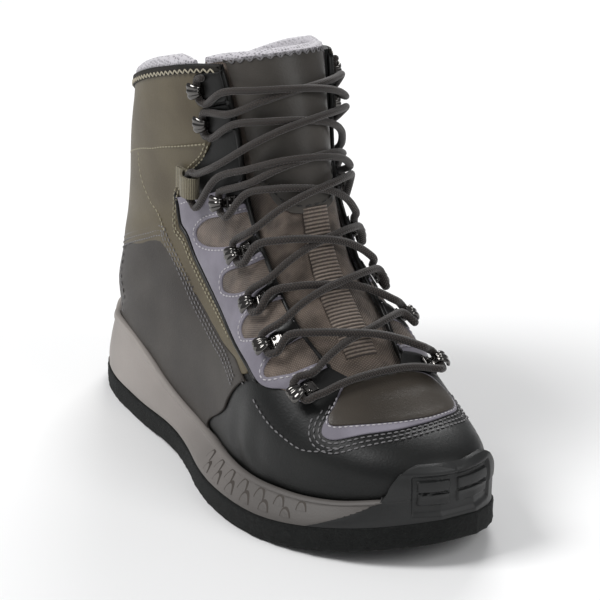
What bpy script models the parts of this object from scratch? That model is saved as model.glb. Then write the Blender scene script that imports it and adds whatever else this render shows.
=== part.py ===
# Right-foot wading boot with a felt sole, standing on the floor.
# X points to the toe, Y to the inner (medial) side, Z up. The origin is the middle
# of the flat spot under the heel. Metres throughout.

import bpy
import bmesh
import math
import numpy as np

for old in list(bpy.data.objects):
    bpy.data.objects.remove(old, do_unlink=True)

# Named sizes
SOLE_LENGTH = 0.310
SOLE_WIDTH = 0.120
SHAFT_HEIGHT = 0.200
HEEL_SETBACK = 0.045
FELT_THICKNESS = 0.012
FELT_EDGE = 0.001
TOE_SPRING = 0.013
HEEL_SPRING = 0.002
ARCH_RISE = 0.0015
UPPER_WALL = 0.002
OVERLAY_THICKNESS = 0.0012
CUFF_THICKNESS = 0.0016
RIM_THICKNESS = 0.0032
MIDSOLE_INSET = 0.0008
BUMPER_THICKNESS = 0.0034
INSOLE_THICKNESS = 0.004
INSOLE_INSET = 0.0028
TONGUE_THICKNESS = 0.005
TONGUE_BULGE = 0.0033
TONGUE_GAP = 0.0015
WEBBING_THICKNESS = 0.001
LACE_DIAMETER = 0.004
HOOK_WIDTH = 0.007
HOOK_SHEET = 0.0012
HOOK_HEIGHT = 0.0072
HOOK_REACH = 0.0064
HOOK_PLATE = 0.0066
HOOK_BEND = 0.0009
HOOK_LIP = 0.0018
LOOP_WIDTH = 0.011
LOOP_STRAP = 0.0013
LOOP_TAIL = 0.012
GAP = 0.0003
OVERLAY_GAP = 0.0005
CUP_GAP = 0.0009

# Plan of the sole from heel to toe. Columns: place along the length, inner edge and
# outer edge from the centre line, as shares of the sole's length and width.
OUTLINE = np.array([
    [0.00, 0.075, -0.075],
    [0.01, 0.142, -0.142],
    [0.03, 0.217, -0.217],
    [0.06, 0.279, -0.283],
    [0.10, 0.325, -0.333],
    [0.15, 0.354, -0.367],
    [0.20, 0.354, -0.383],
    [0.30, 0.325, -0.400],
    [0.38, 0.302, -0.408],
    [0.44, 0.298, -0.421],
    [0.50, 0.316, -0.450],
    [0.56, 0.350, -0.492],
    [0.62, 0.408, -0.521],
    [0.68, 0.450, -0.529],
    [0.74, 0.471, -0.517],
    [0.80, 0.471, -0.479],
    [0.86, 0.442, -0.408],
    [0.91, 0.396, -0.321],
    [0.95, 0.334, -0.221],
    [0.98, 0.258, -0.105],
    [1.00, 0.170, 0.010],
])

# Sections of the upper, fanned from the toe to the collar. Each is one flat section
# from its front point on the centre line down to its foot or back point.
# Columns: front X, front Z, back X, back Z (shares of length and shaft height),
# centre Y, inner and outer half width, inner and outer half width at the foot
# (shares of the sole's width), where it is widest, front and back roundness.
SECTIONS = np.array([
    [.984, .200, .984, .150, .090, .000, .000, .000, .000, .55, 2.20, 2.2],
    [.979, .232, .979, .150, .088, .085, .090, .075, .080, .55, 2.20, 2.4],
    [.962, .262, .962, .144, .082, .175, .180, .155, .160, .56, 2.20, 2.5],
    [.930, .287, .930, .133, .070, .255, .262, .230, .235, .58, 2.25, 2.6],
    [.886, .309, .878, .119, .052, .322, .336, .290, .305, .60, 2.30, 2.7],
    [.832, .345, .816, .107, .032, .370, .396, .335, .362, .62, 2.35, 2.8],
    [.782, .400, .745, .101, .014, .395, .430, .350, .392, .64, 2.40, 2.8],
    [.733, .465, .675, .100, .004, .395, .435, .345, .390, .66, 2.45, 2.8],
    [.693, .525, .605, .102, .000, .362, .415, .270, .370, .68, 2.50, 2.8],
    [.664, .575, .533, .106, .000, .330, .380, .190, .340, .70, 2.50, 2.8],
    [.645, .620, .450, .112, .000, .312, .352, .145, .315, .70, 2.50, 2.8],
    [.633, .662, .360, .119, .000, .308, .335, .150, .300, .68, 2.50, 2.8],
    [.625, .698, .270, .125, .000, .309, .325, .200, .290, .66, 2.50, 2.8],
    [.619, .732, .180, .129, .000, .310, .318, .242, .275, .64, 2.50, 2.8],
    [.614, .762, .110, .130, .000, .308, .314, .235, .240, .62, 2.50, 2.8],
    [.610, .788, .065, .131, .000, .306, .312, .170, .172, .60, 2.50, 2.8],
    [.606, .812, .043, .133, .000, .305, .310, .085, .086, .59, 2.50, 2.8],
    [.603, .832, .036, .150, .000, .304, .309, .000, .000, .58, 2.45, 2.6],
    [.600, .852, .034, .210, .000, .304, .308, .000, .000, .58, 2.40, 2.5],
    [.594, .882, .046, .330, .000, .306, .308, .000, .000, .57, 2.40, 2.4],
    [.587, .916, .074, .470, .000, .310, .312, .000, .000, .56, 2.35, 2.3],
    [.578, .955, .098, .610, .000, .318, .320, .000, .000, .55, 2.30, 2.3],
    [.568, .995, .116, .740, .000, .326, .330, .000, .000, .54, 2.30, 2.3],
    [.558, 1.035, .130, .840, .000, .333, .338, .000, .000, .53, 2.30, 2.3],
    [.548, 1.070, .138, .910, .000, .340, .345, .000, .000, .52, 2.30, 2.3],
    [.540, 1.102, .144, .970, .000, .346, .351, .000, .000, .52, 2.30, 2.3],
    [.532, 1.132, .150, 1.02, .000, .350, .355, .000, .000, .52, 2.30, 2.3],
])
HEEL_ROW = 17.0
THROAT_ROW = 5.65

# Half width of the throat (share of the way round the section) by section number.
THROAT = np.array([
    [5.65, 0.060],
    [5.85, 0.092],
    [6.40, 0.108],
    [7.20, 0.128],
    [9.00, 0.160],
    [11.5, 0.195],
    [15.0, 0.213],
    [18.0, 0.222],
    [20.5, 0.228],
    [22.0, 0.235],
    [25.0, 0.250],
])

# Collar line: section number by the share of the way from throat to back.
COLLAR = np.array([
    [0.00, 24.30],
    [0.12, 24.45],
    [0.30, 24.40],
    [0.50, 24.10],
    [0.70, 23.70],
    [0.88, 23.15],
    [1.00, 22.95],
])

# Top of the midsole's wall: place along the length, height as a share of the shaft.
RIM = np.array([
    [0.00, 0.225],
    [0.15, 0.222],
    [0.21, 0.211],
    [0.27, 0.184],
    [0.33, 0.151],
    [0.40, 0.128],
    [0.48, 0.119],
    [0.57, 0.117],
    [0.65, 0.117],
    [0.72, 0.120],
    [0.77, 0.125],
    [0.83, 0.131],
    [0.88, 0.142],
    [0.94, 0.168],
    [1.00, 0.190],
])


def table(rows, at, column=1):
    """Smooth value of one column of a table at a given value of its first column."""
    x = rows[:, 0]
    y = rows[:, column]
    at = np.clip(np.asarray(at, float), x[0], x[-1])
    slope = np.gradient(y, x)
    i = np.clip(np.searchsorted(x, at) - 1, 0, len(x) - 2)
    h = x[i + 1] - x[i]
    f = (at - x[i]) / h
    a = (1 + 2 * f) * (1 - f) ** 2 * y[i] + f * (1 - f) ** 2 * h * slope[i]
    b = f * f * (3 - 2 * f) * y[i + 1] + f * f * (f - 1) * h * slope[i + 1]
    return a + b


def sections_at(t):
    """All columns of the section table at section number t, blended smoothly."""
    last = len(SECTIONS) - 1
    t = np.clip(np.asarray(t, float), 0, last)
    i = np.minimum(t.astype(int), last - 1)
    f = (t - i)[..., None]
    before = 2 * SECTIONS[0] - SECTIONS[1]
    after = 2 * SECTIONS[-1] - SECTIONS[-2]
    rows = np.vstack([before, SECTIONS, after])
    a, b, c, d = rows[i], rows[i + 1], rows[i + 2], rows[i + 3]
    cubic = (3 * b - a - 3 * c + d) * f ** 3
    return 0.5 * (2 * b + (c - a) * f + (2 * a - 5 * b + 4 * c - d) * f ** 2 + cubic)


def surface(t, v, side):
    """Outer face of the upper: v runs from the centre line (0) to the foot (1)."""
    t, v = np.broadcast_arrays(np.asarray(t, float), np.asarray(v, float))
    row = sections_at(t)
    fx, fz, bx, bz, yc, wi, wo, bi, bo, widest, pf, pb = [row[..., k] for k in range(12)]
    wide = np.maximum(np.where(side > 0, wi, wo), 0)
    foot = np.maximum(np.where(side > 0, bi, bo), 0)
    turn = np.clip(v, 0, 1) * math.pi
    front = np.clip(turn, 0, math.pi / 2)
    back = np.clip(turn - math.pi / 2, 0, math.pi / 2)
    early = turn <= math.pi / 2
    down = np.where(early, widest * (1 - np.cos(front) ** (2 / pf)),
                    widest + (1 - widest) * np.sin(back) ** (2 / pb))
    out = np.where(early, wide * np.sin(front) ** (2 / pf),
                   foot + (wide - foot) * np.abs(np.cos(back)) ** (2 / pb))
    x = (fx + (bx - fx) * down) * SOLE_LENGTH - HEEL_SETBACK
    y = (yc + side * out) * SOLE_WIDTH
    z = (fz + (bz - fz) * down) * SHAFT_HEIGHT
    return np.stack([x, y, z], -1)


def frame_at(t, v, side):
    """Outward normal, direction up the shoe and direction away from the throat."""
    t, v = np.broadcast_arrays(np.asarray(t, float), np.asarray(v, float))
    up = surface(t + 0.06, v, side) - surface(t - 0.06, v, side)
    away = surface(t, v + 0.012, side) - surface(t, v - 0.012, side)
    normal = np.cross(up, away) * -side
    normal /= np.maximum(np.linalg.norm(normal, axis=-1, keepdims=True), 1e-12)
    up /= np.maximum(np.linalg.norm(up, axis=-1, keepdims=True), 1e-12)
    return normal, up, np.cross(up, normal) * side


def skin(t, v, side, lift=0.0):
    """Point at a height over the upper's outer face."""
    normal = frame_at(t, v, side)[0]
    return surface(t, v, side) + normal * np.asarray(lift)[..., None]


def place(x):
    return (x + HEEL_SETBACK) / SOLE_LENGTH


def ground(x):
    """Height of the felt's underside along the length: flat at heel and forefoot."""
    s = place(np.asarray(x, float))
    toe = TOE_SPRING * np.clip((s - 0.74) / 0.26, 0, 1) ** 1.8
    heel = HEEL_SPRING * np.clip((0.06 - s) / 0.06, 0, 1) ** 1.5
    arch = ARCH_RISE * np.sin(math.pi * np.clip((s - 0.26) / 0.28, 0, 1)) ** 2
    return toe + heel + arch


# Materials
def material(name, red, green, blue, rough, metal=0.0):
    made = bpy.data.materials.new(name)
    made.use_nodes = True
    shader = made.node_tree.nodes["Principled BSDF"]
    shader.inputs["Base Color"].default_value = (red, green, blue, 1)
    shader.inputs["Roughness"].default_value = rough
    shader.inputs["Metallic"].default_value = metal
    return made


FELT = material("wool felt", 0.022, 0.024, 0.023, 0.95)
FOAM = material("moulded foam rubber", 0.30, 0.27, 0.245, 0.62)
RUBBER = material("moulded rubber", 0.022, 0.023, 0.022, 0.6)
LEATHER = material("coated leather", 0.055, 0.050, 0.045, 0.5)
LAVENDER = material("grey lavender microfibre", 0.27, 0.255, 0.30, 0.6)
CLOTH = material("padded tongue cloth", 0.035, 0.034, 0.033, 0.8)
WEBBING = material("woven webbing", 0.09, 0.085, 0.075, 0.85)
LACE = material("braided lace", 0.045, 0.032, 0.027, 0.8)
STEEL = material("gunmetal steel", 0.09, 0.085, 0.085, 0.3, 1.0)
LINER = material("footbed foam", 0.12, 0.12, 0.12, 0.9)


def add_body(name, points, faces, look, closed=True):
    """One body from points and faces; a closed one has its faces turned outward."""
    mesh = bpy.data.meshes.new(name)
    mesh.from_pydata([tuple(p) for p in points], [], faces)
    work = bmesh.new()
    work.from_mesh(mesh)
    bmesh.ops.remove_doubles(work, verts=work.verts, dist=2e-6)
    bmesh.ops.dissolve_degenerate(work, edges=work.edges, dist=1e-6)
    if closed:
        bmesh.ops.recalc_face_normals(work, faces=work.faces)
    work.to_mesh(mesh)
    work.free()
    mesh.shade_smooth()
    mesh.set_sharp_from_angle(angle=math.radians(40))
    mesh.materials.append(look)
    made = bpy.data.objects.new(name, mesh)
    bpy.context.scene.collection.objects.link(made)
    return made


def rings_body(name, rings, look, ends=False):
    """Body from closed rings of equal length: the last ring joins the first again, or,
    with ends on, the first and the last are capped."""
    count = len(rings)
    size = len(rings[0])
    points = np.concatenate(rings)
    faces = []
    for i in range(count if not ends else count - 1):
        a = i * size
        b = ((i + 1) % count) * size
        for k in range(size):
            m = (k + 1) % size
            faces.append((a + k, a + m, b + m, b + k))
    if ends:
        half = size // 2
        for a in (0, (count - 1) * size):
            if size < 9:
                faces.append(tuple(range(a, a + size)))
                continue
            for k in range(half - 1):
                faces.append((a + k, a + k + 1, a + size - 2 - k, a + size - 1 - k))
    return add_body(name, points, faces, look)


def slab(name, low, high, look):
    """Body between two grids of points of the same shape."""
    rows, columns = low.shape[:2]
    points = np.concatenate([low.reshape(-1, 3), high.reshape(-1, 3)])
    shift = rows * columns
    faces = []
    for i in range(rows - 1):
        for j in range(columns - 1):
            a = i * columns + j
            quad = (a, a + 1, a + columns + 1, a + columns)
            faces.append(quad)
            faces.append(tuple(shift + k for k in reversed(quad)))
    edge = [j for j in range(columns)]
    edge += [i * columns + columns - 1 for i in range(1, rows)]
    edge += [(rows - 1) * columns + j for j in range(columns - 2, -1, -1)]
    edge += [i * columns for i in range(rows - 2, 0, -1)]
    for a, b in zip(edge, edge[1:] + edge[:1]):
        faces.append((b, a, shift + a, shift + b))
    return add_body(name, points, faces, look)


# Felt outsole, cut to the plan of the sole
def outline_points(count):
    """Closed plan of the sole, heel to toe on the outer side and back on the inner."""
    t = np.linspace(0, len(OUTLINE) - 1, count)
    rows = np.vstack([2 * OUTLINE[0] - OUTLINE[1], OUTLINE, 2 * OUTLINE[-1] - OUTLINE[-2]])
    i = np.minimum(t.astype(int), len(OUTLINE) - 2)
    f = (t - i)[:, None]
    a, b, c, d = rows[i], rows[i + 1], rows[i + 2], rows[i + 3]
    r = 0.5 * (2 * b + (c - a) * f + (2 * a - 5 * b + 4 * c - d) * f ** 2
               + (3 * b - a - 3 * c + d) * f ** 3)
    x = r[:, 0] * SOLE_LENGTH - HEEL_SETBACK
    outer = np.stack([x, r[:, 2] * SOLE_WIDTH], -1)
    inner = np.stack([x, r[:, 1] * SOLE_WIDTH], -1)
    return np.concatenate([outer, inner[::-1]])


def inset(plan, by):
    """Plan moved inward along its own normals."""
    along = np.roll(plan, -1, 0) - np.roll(plan, 1, 0)
    normal = np.stack([along[:, 1], -along[:, 0]], -1)
    normal /= np.linalg.norm(normal, axis=1, keepdims=True)
    return plan - normal * by


PLAN = outline_points(41)


def felt_ring(by, up):
    moved = inset(PLAN, by)
    half = len(moved) // 2
    x = 0.5 * (moved[:half, 0] + moved[half:, 0][::-1])
    moved[:half, 0] = x
    moved[half:, 0] = x[::-1]
    return np.column_stack([moved, ground(PLAN[:, 0]) + up])


rings_body("outsole_felt", [
    felt_ring(FELT_EDGE, 0.0),
    felt_ring(0.0, FELT_EDGE),
    felt_ring(0.0, FELT_THICKNESS - FELT_EDGE),
    felt_ring(FELT_EDGE, FELT_THICKNESS),
], FELT, ends=True)


# Where the midsole's top line runs on the upper
def rim_turn(t, side):
    """Place round a section where it meets the midsole's top line."""
    low = np.full(np.shape(t), 0.35)
    high = np.ones(np.shape(t))
    for _ in range(30):
        mid = 0.5 * (low + high)
        p = surface(t, mid, side)
        over = p[..., 2] > table(RIM, place(p[..., 0])) * SHAFT_HEIGHT
        low = np.where(over, mid, low)
        high = np.where(over, high, mid)
    return 0.5 * (low + high)


def back_row(height):
    """Section number whose back point has a given share of the shaft height."""
    low, high = HEEL_ROW, 22.0
    for _ in range(30):
        mid = 0.5 * (low + high)
        if sections_at(np.array(mid))[3] < height:
            low = mid
        else:
            high = mid
    return 0.5 * (low + high)


RIM_END = back_row(RIM[0, 1])


def sole_edge(point, normal):
    """Where a line from a point meets the felt's plan."""
    a = PLAN
    b = np.roll(PLAN, -1, 0)
    e = b - a
    cross = normal[0] * e[:, 1] - normal[1] * e[:, 0]
    cross = np.where(np.abs(cross) < 1e-12, 1e-12, cross)
    w = a - point
    along = (w[:, 0] * e[:, 1] - w[:, 1] * e[:, 0]) / cross
    share = (w[:, 0] * normal[1] - w[:, 1] * normal[0]) / cross
    hit = (share >= -1e-9) & (share <= 1 + 1e-9) & (along > 0)
    return point + normal * along[hit].min()


# Wall of the sole: level 0 is the felt's edge, level 1 the top line
WALL_PROFILE = np.array([
    [0.00, 0.00],
    [0.16, 0.03],
    [0.45, 0.30],
    [0.75, 0.72],
    [0.93, 0.98],
    [1.00, 1.00],
])


def wall_point(t, side, level, thick):
    """Outer face of the sole's wall at a section and level, and its plan normal."""
    v = float(rim_turn(np.array(t), side))
    normal = frame_at(t, v, side)[0][:2]
    normal = normal / np.linalg.norm(normal)
    rim = surface(t, v, side)
    edge = sole_edge(rim[:2], normal) - normal * MIDSOLE_INSET
    top = rim[:2] + normal * (GAP + thick)
    foot = float(ground(edge[0])) + FELT_THICKNESS + GAP
    share = float(table(WALL_PROFILE, level))
    plan = edge + (top - edge) * share
    return np.array([plan[0], plan[1], foot + (rim[2] - foot) * level]), normal, rim, v


MIDSOLE_LEVELS = [0.0, 0.18, 0.5, 0.8, 1.0]


def under_foot(t, side):
    """Point just under the upper's foot line."""
    foot = surface(t, 1.0, side)
    foot[2] -= GAP
    return foot


def midsole_column(t, side):
    """Points up the outside of the midsole, over its rim and down to its floor."""
    points = [wall_point(t, side, level, RIM_THICKNESS)[0] for level in MIDSOLE_LEVELS]
    outer, normal, rim, v = wall_point(t, side, 1.0, RIM_THICKNESS)
    plan = rim[:2] + normal * CUP_GAP
    points.append(np.array([plan[0], plan[1], rim[2]]))
    foot_t = HEEL_ROW * t / RIM_END
    for k in (0.25, 0.5, 0.75):
        points.append(skin(t + (foot_t - t) * k, v + (1 - v) * k, side, CUP_GAP * (1 + k)))
    points.append(under_foot(foot_t, side))
    return points


def even_along_rim(start, count):
    """Section numbers spaced evenly along the midsole's top line, to the heel."""
    t = RIM_END - (RIM_END - start) * np.linspace(1, 0, 600) ** 3
    p = surface(t, rim_turn(t, -1), -1)
    run = np.concatenate([[0], np.cumsum(np.linalg.norm(np.diff(p, axis=0), axis=1))])
    return np.interp(np.linspace(0, run[-1], count), run, t)


def midsole():
    stations = even_along_rim(0.0, 45)
    sides = {}
    for side in (-1, 1):
        sides[side] = [midsole_column(t, side) for t in stations]
    grid = np.array(sides[-1][::-1] + sides[1])
    rings = [grid[:, k] for k in range(grid.shape[1])]
    return rings_body("midsole", rings, FOAM, ends=True)


# Toe bumper: outside the midsole and the upper, with slanting ends.
# Section number where it ends at each level: 0 the felt, 1 the midsole's top line.
BUMPER_END = np.array([
    [0.00, 4.60],
    [0.30, 4.05],
    [0.70, 3.25],
    [1.00, 2.78],
])
BUMPER_FRONT = 1.45
BUMPER_CORNER = (2.10, 0.24)
BUMPER_COLUMNS = 9


def bumper_column(share, side, grow):
    """Ring round the bumper at one place; grow gives the room cut for it."""
    outer = []
    inner = []
    past = 0.10 if grow else 0.0
    extra = 0.004 if grow else 0.0
    for level in (0.0, 0.2, 0.5, 0.8, 1.0):
        t = share * (float(table(BUMPER_END, level)) + past)
        point, normal, rim, v = wall_point(t, side, level, BUMPER_THICKNESS)
        far = point[:2] + normal * extra
        near = rim[:2] + normal * (0.0 if grow else 2 * GAP)
        if grow and level == 0.0:
            outer.append(np.array([far[0], far[1], point[2] - 0.002]))
            inner.append(np.array([near[0], near[1], point[2] - 0.002]))
        outer.append(np.array([far[0], far[1], point[2]]))
        inner.append(np.array([near[0], near[1], point[2]]))
    start = share * (float(table(BUMPER_END, 1.0)) + past)
    rim_v = float(rim_turn(np.array(start), side))
    for rise in (0.2, 0.4, 0.6, 0.8, 1.0):
        along = (1 - share) * max(0, 2 * rise - 1) + share * rise
        over = (1 - share) * min(1, 2 * rise) + share * rise
        end = BUMPER_FRONT + (BUMPER_CORNER[0] + past - BUMPER_FRONT) * share ** 2
        t = start + (end - start) * along
        turn = rim_v + (BUMPER_CORNER[1] * share - rim_v) * over
        thick = BUMPER_THICKNESS * (1.0 if rise < 1 else 0.7) + extra
        outer.append(skin(t, turn, side, CUP_GAP + thick))
        inner.append(skin(t, turn, side, CUP_GAP))
    return np.array(outer + inner[::-1])


def toe_bumper(name, grow=False):
    steps = [k / BUMPER_COLUMNS for k in range(BUMPER_COLUMNS + 1)]
    columns = [bumper_column(k, -1, grow) for k in steps[:0:-1]]
    columns += [bumper_column(k, 1, grow) for k in steps]
    return rings_body(name, columns, RUBBER, ends=True)


MIDSOLE = midsole()
toe_bumper("toe_bumper")
ROOM = toe_bumper("toe_bumper_room", grow=True)
ROOM.hide_render = True
ROOM.display_type = "WIRE"
cut = MIDSOLE.modifiers.new("room for the bumper", "BOOLEAN")
cut.operation = "DIFFERENCE"
cut.solver = "EXACT"
cut.object = ROOM


# Upper: one shell, open at the collar, along the throat and underneath
def throat(t):
    t = np.asarray(t, float)
    return np.where(t <= THROAT_ROW, 0.0, table(THROAT, t))


def upper_shell():
    low = [0, .5, 1, 1.5, 2, 2.6, 3.2, 3.8, 4.4, 5.0, THROAT_ROW]
    high = [5.85, 6.4, 7, 7.6, 8.2, 8.9, 9.6, 10.4, 11.4, 12.5, 13.8, 15.0, 16.0, HEEL_ROW]
    shaft = [17.4, 17.8, 18.3, 18.8, 19.4, 20, 21, 22]
    stations = low + high + shaft + ["collar"]
    across = 12
    points = []
    faces = []
    for side in (-1, 1):
        start = len(points)
        for station in stations:
            for k in range(across + 1):
                b = k / across
                t = float(table(COLLAR, b)) if station == "collar" else station
                v0 = float(throat(t))
                points.append(surface(t, v0 + (1 - v0) * b, side))
        for i in range(len(stations) - 1):
            for k in range(across):
                a = start + i * (across + 1) + k
                c = a + across + 1
                faces.append((a, a + 1, c + 1, c) if side > 0 else (a, c, c + 1, a + 1))
    made = add_body("upper", points, faces, LEATHER, closed=False)
    wall = made.modifiers.new("wall", "SOLIDIFY")
    wall.thickness = UPPER_WALL
    wall.offset = -1.0
    return made


UPPER = upper_shell()


# Insole on the midsole's floor
def foot_ring(by, up):
    t = np.linspace(0.6, HEEL_ROW - 1.2, 26)
    sides = []
    for side in (-1, 1):
        sides.append(surface(t, 1.0, side))
    ring = np.concatenate([sides[0][::-1], sides[1]])
    along = np.roll(ring, -1, 0) - np.roll(ring, 1, 0)
    normal = np.stack([along[:, 1], -along[:, 0]], -1)
    normal /= np.linalg.norm(normal, axis=1, keepdims=True)
    ring[:, :2] -= normal * by
    ring[:, 2] += up
    return ring


rings_body("insole", [
    foot_ring(INSOLE_INSET, 0.0),
    foot_ring(INSOLE_INSET, INSOLE_THICKNESS),
], LINER, ends=True)


# Tongue: a pad behind the throat, tucked under the vamp and standing over the collar
TONGUE_WIDTH = np.array([
    [4.90, 0.100],
    [6.00, 0.200],
    [8.00, 0.280],
    [11.0, 0.330],
    [16.0, 0.350],
    [20.0, 0.360],
    [23.0, 0.350],
    [25.0, 0.320],
])
TONGUE_ROWS = np.array([4.9, 5.4, 5.9, 6.4, 7.0, 7.6, 8.4, 9.3, 10.4, 11.8, 13.4, 15.5, 17.5,
                        19.2, 20.8, 22.3, 23.6, 24.4])
TONGUE_TOP = 25.1


def tongue_lift(t, v):
    """Height of the tongue's face over the upper's outer face."""
    reach = np.maximum(throat(t) * 0.85, 0.02)
    free = np.clip(1 - v / reach, 0, 1)
    free = np.sqrt(free) * np.clip((t - THROAT_ROW - 0.4) / 0.9, 0, 1)
    return -(UPPER_WALL + TONGUE_GAP) + TONGUE_BULGE * free


def both_sides(t, signed, lift):
    """Points at signed places across the centre line."""
    right = skin(t, np.abs(signed), -1, lift)
    left = skin(t, np.abs(signed), 1, lift)
    return np.where((signed < 0)[..., None], right, left)


def tongue():
    rows = np.append(TONGUE_ROWS, TONGUE_TOP)
    across = np.linspace(-1, 1, 11)
    t = np.repeat(rows[:, None], len(across), 1)
    s = np.repeat(across[None, :], len(rows), 0)
    t[-1] = TONGUE_TOP - 0.35 * across ** 4
    width = table(TONGUE_WIDTH, t)
    signed = s * width
    lift = tongue_lift(t, np.abs(signed))
    edge = 1 - 0.5 * np.abs(s) ** 6
    high = both_sides(t, signed, lift)
    low = both_sides(t, signed, lift - TONGUE_THICKNESS * edge)
    return slab("tongue", low, high, CLOTH)


tongue()


# Ribbed webbing down the middle of the tongue
WEB_HALF = 0.036


def tongue_webbing():
    rows = TONGUE_ROWS[3:11]
    across = np.linspace(-1, 1, 5)
    t = np.repeat(rows[:, None], len(across), 1)
    signed = np.repeat(across[None, :], len(rows), 0) * WEB_HALF
    base = tongue_lift(t, np.abs(signed)) + GAP + 0.0001
    low = both_sides(t, signed, base)
    high = both_sides(t, signed, base + WEBBING_THICKNESS)
    return slab("tongue_webbing", low, high, WEBBING)


tongue_webbing()


# Eyestays along the throat
EYESTAY_EDGE = np.array([
    [0.00, 5.72, 0.262],
    [0.10, 7.00, 0.330],
    [0.20, 8.00, 0.352],
    [0.32, 9.20, 0.372],
    [0.48, 11.0, 0.388],
    [0.64, 13.5, 0.392],
    [0.82, 16.5, 0.402],
    [1.00, 19.2, 0.436],
])
EYESTAY_START = 5.78
EYESTAY_TOP = 17.9


def eyestay(name, side):
    share = np.linspace(0, 1, 20)
    across = np.linspace(0, 1, 6)
    outer_t = table(EYESTAY_EDGE, share, 1)
    outer_v = table(EYESTAY_EDGE, share, 2)
    inner_t = EYESTAY_START + (EYESTAY_TOP - EYESTAY_START) * share ** 1.05
    inner_v = throat(inner_t) + 0.004
    t = inner_t[:, None] + (outer_t - inner_t)[:, None] * across
    v = inner_v[:, None] + (outer_v - inner_v)[:, None] * across
    low = skin(t, v, side, OVERLAY_GAP)
    high = skin(t, v, side, OVERLAY_GAP + OVERLAY_THICKNESS)
    return slab(name, low, high, LAVENDER)


eyestay("eyestay_lateral", -1)
eyestay("eyestay_medial", 1)


# Quarter overlay round the heel, from the vamp seam of one side to that of the other
QUARTER_EDGE = np.array([
    [0.00, 7.70, 0.392],
    [0.06, 8.60, 0.392],
    [0.14, 9.50, 0.411],
    [0.20, 10.4, 0.420],
    [0.30, 11.9, 0.424],
    [0.39, 13.8, 0.420],
    [0.45, 16.5, 0.432],
    [0.52, 18.1, 0.456],
    [0.64, 18.9, 0.525],
    [0.76, 19.1, 0.660],
    [0.88, 19.2, 0.820],
    [1.00, 19.3, 1.000],
])
QUARTER_START = 9.3
# Turn left free between the overlay's foot and the midsole's top line, at the heel and
# how much more of it at the front
QUARTER_LAP = 0.022
QUARTER_LAP_MORE = 0.036


def quarter_side(side):
    share = np.linspace(0, 1, 25)
    up = np.linspace(0, 1, 6)
    top_t = table(QUARTER_EDGE, share, 1)
    top_v = np.minimum(table(QUARTER_EDGE, share, 2), 1)
    low_t = even_along_rim(QUARTER_START, len(share))
    low_t[-1] = RIM_END
    low_v = rim_turn(low_t, side) - QUARTER_LAP - QUARTER_LAP_MORE * (1 - share ** 2)
    low_t = low_t + 0.06 * share ** 8
    low_v[-1] = 1.0
    top_v[-1] = 1.0
    t = low_t[:, None] + (top_t - low_t)[:, None] * up
    v = low_v[:, None] + (top_v - low_v)[:, None] * up
    return t, v


def quarter():
    t_out, v_out = quarter_side(-1)
    t_in, v_in = quarter_side(1)
    gap = OVERLAY_GAP
    low = np.concatenate([skin(t_out, v_out, -1, gap), skin(t_in, v_in, 1, gap)[::-1][1:]])
    thick = gap + OVERLAY_THICKNESS
    high = np.concatenate([skin(t_out, v_out, -1, thick), skin(t_in, v_in, 1, thick)[::-1][1:]])
    return slab("quarter_overlay", low, high, LEATHER)


quarter()


# Cuff bound round the collar
CUFF_DEPTH = 0.50


def cuff():
    share = np.linspace(0.02, 1, 19)
    rows = []
    for side in (-1, 1):
        top = table(COLLAR, share) - 0.03
        t = top[:, None] - CUFF_DEPTH * np.array([1.0, 0.5, 0.0])
        v0 = throat(t)
        v = v0 + (1 - v0) * share[:, None]
        rows.append((t, v, side))
    parts = []
    for lift in (OVERLAY_GAP, OVERLAY_GAP + CUFF_THICKNESS):
        out = skin(rows[0][0], rows[0][1], -1, lift)
        into = skin(rows[1][0], rows[1][1], 1, lift)
        parts.append(np.concatenate([out, into[::-1][1:]]))
    return slab("collar_cuff", parts[0], parts[1], CLOTH)


cuff()


# Pull loop: webbing sewn up the back
def back_strip():
    rows = np.linspace(19.75, 22.2, 8)
    across = np.linspace(-1, 1, 5)
    half = 0.10
    t = np.repeat(rows[:, None], len(across), 1)
    s = np.repeat(across[None, :], len(rows), 0)
    v = 1 - half * np.abs(s)
    bow = 0.0022 * np.sin(math.pi * np.linspace(0, 1, len(rows)))[:, None]
    low = np.where((s < 0)[..., None], skin(t, v, -1, GAP), skin(t, v, 1, GAP))
    top = GAP + OVERLAY_THICKNESS + bow + 0 * s
    high = np.where((s < 0)[..., None], skin(t, v, -1, top), skin(t, v, 1, top))
    return slab("back_strip", low, high, WEBBING)


back_strip()


# Lace hooks: bent sheet, open away from the throat
HOOK_ROWS = [5.95, 7.54, 9.29, 12.08, 16.74, 21.46, 22.99]
HOOK_TURNS = [0.232, 0.242, 0.247, 0.254, 0.267, 0.311, 0.317]
HOOK_SEAT = OVERLAY_GAP + OVERLAY_THICKNESS + GAP


def hook_frame(number, side):
    t = HOOK_ROWS[number]
    v = HOOK_TURNS[number]
    normal, up, away = frame_at(t, v, side)
    seat = HOOK_SEAT if number < 5 else GAP
    return surface(t, v, side) + normal * seat, normal, up, away


def hook_profile():
    """Outline of the bent sheet: distance away from the throat, and height."""
    s = HOOK_SHEET
    h = HOOK_HEIGHT
    r = HOOK_REACH
    bend = HOOK_BEND
    half_bend = HOOK_BEND / 2
    outside = [(-HOOK_PLATE, s), (-GAP - s - half_bend, s), (-GAP - s, s + half_bend),
               (-GAP - s, h - bend), (-2 * GAP, h), (r - HOOK_LIP, h), (r, h - bend)]
    inside = [(r - half_bend, h - bend - s), (r - HOOK_LIP - half_bend, h - s), (0, h - s),
              (-GAP, h - s - half_bend), (-GAP, half_bend), (-GAP - half_bend, 0),
              (-HOOK_PLATE, 0)]
    return outside + inside


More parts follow.
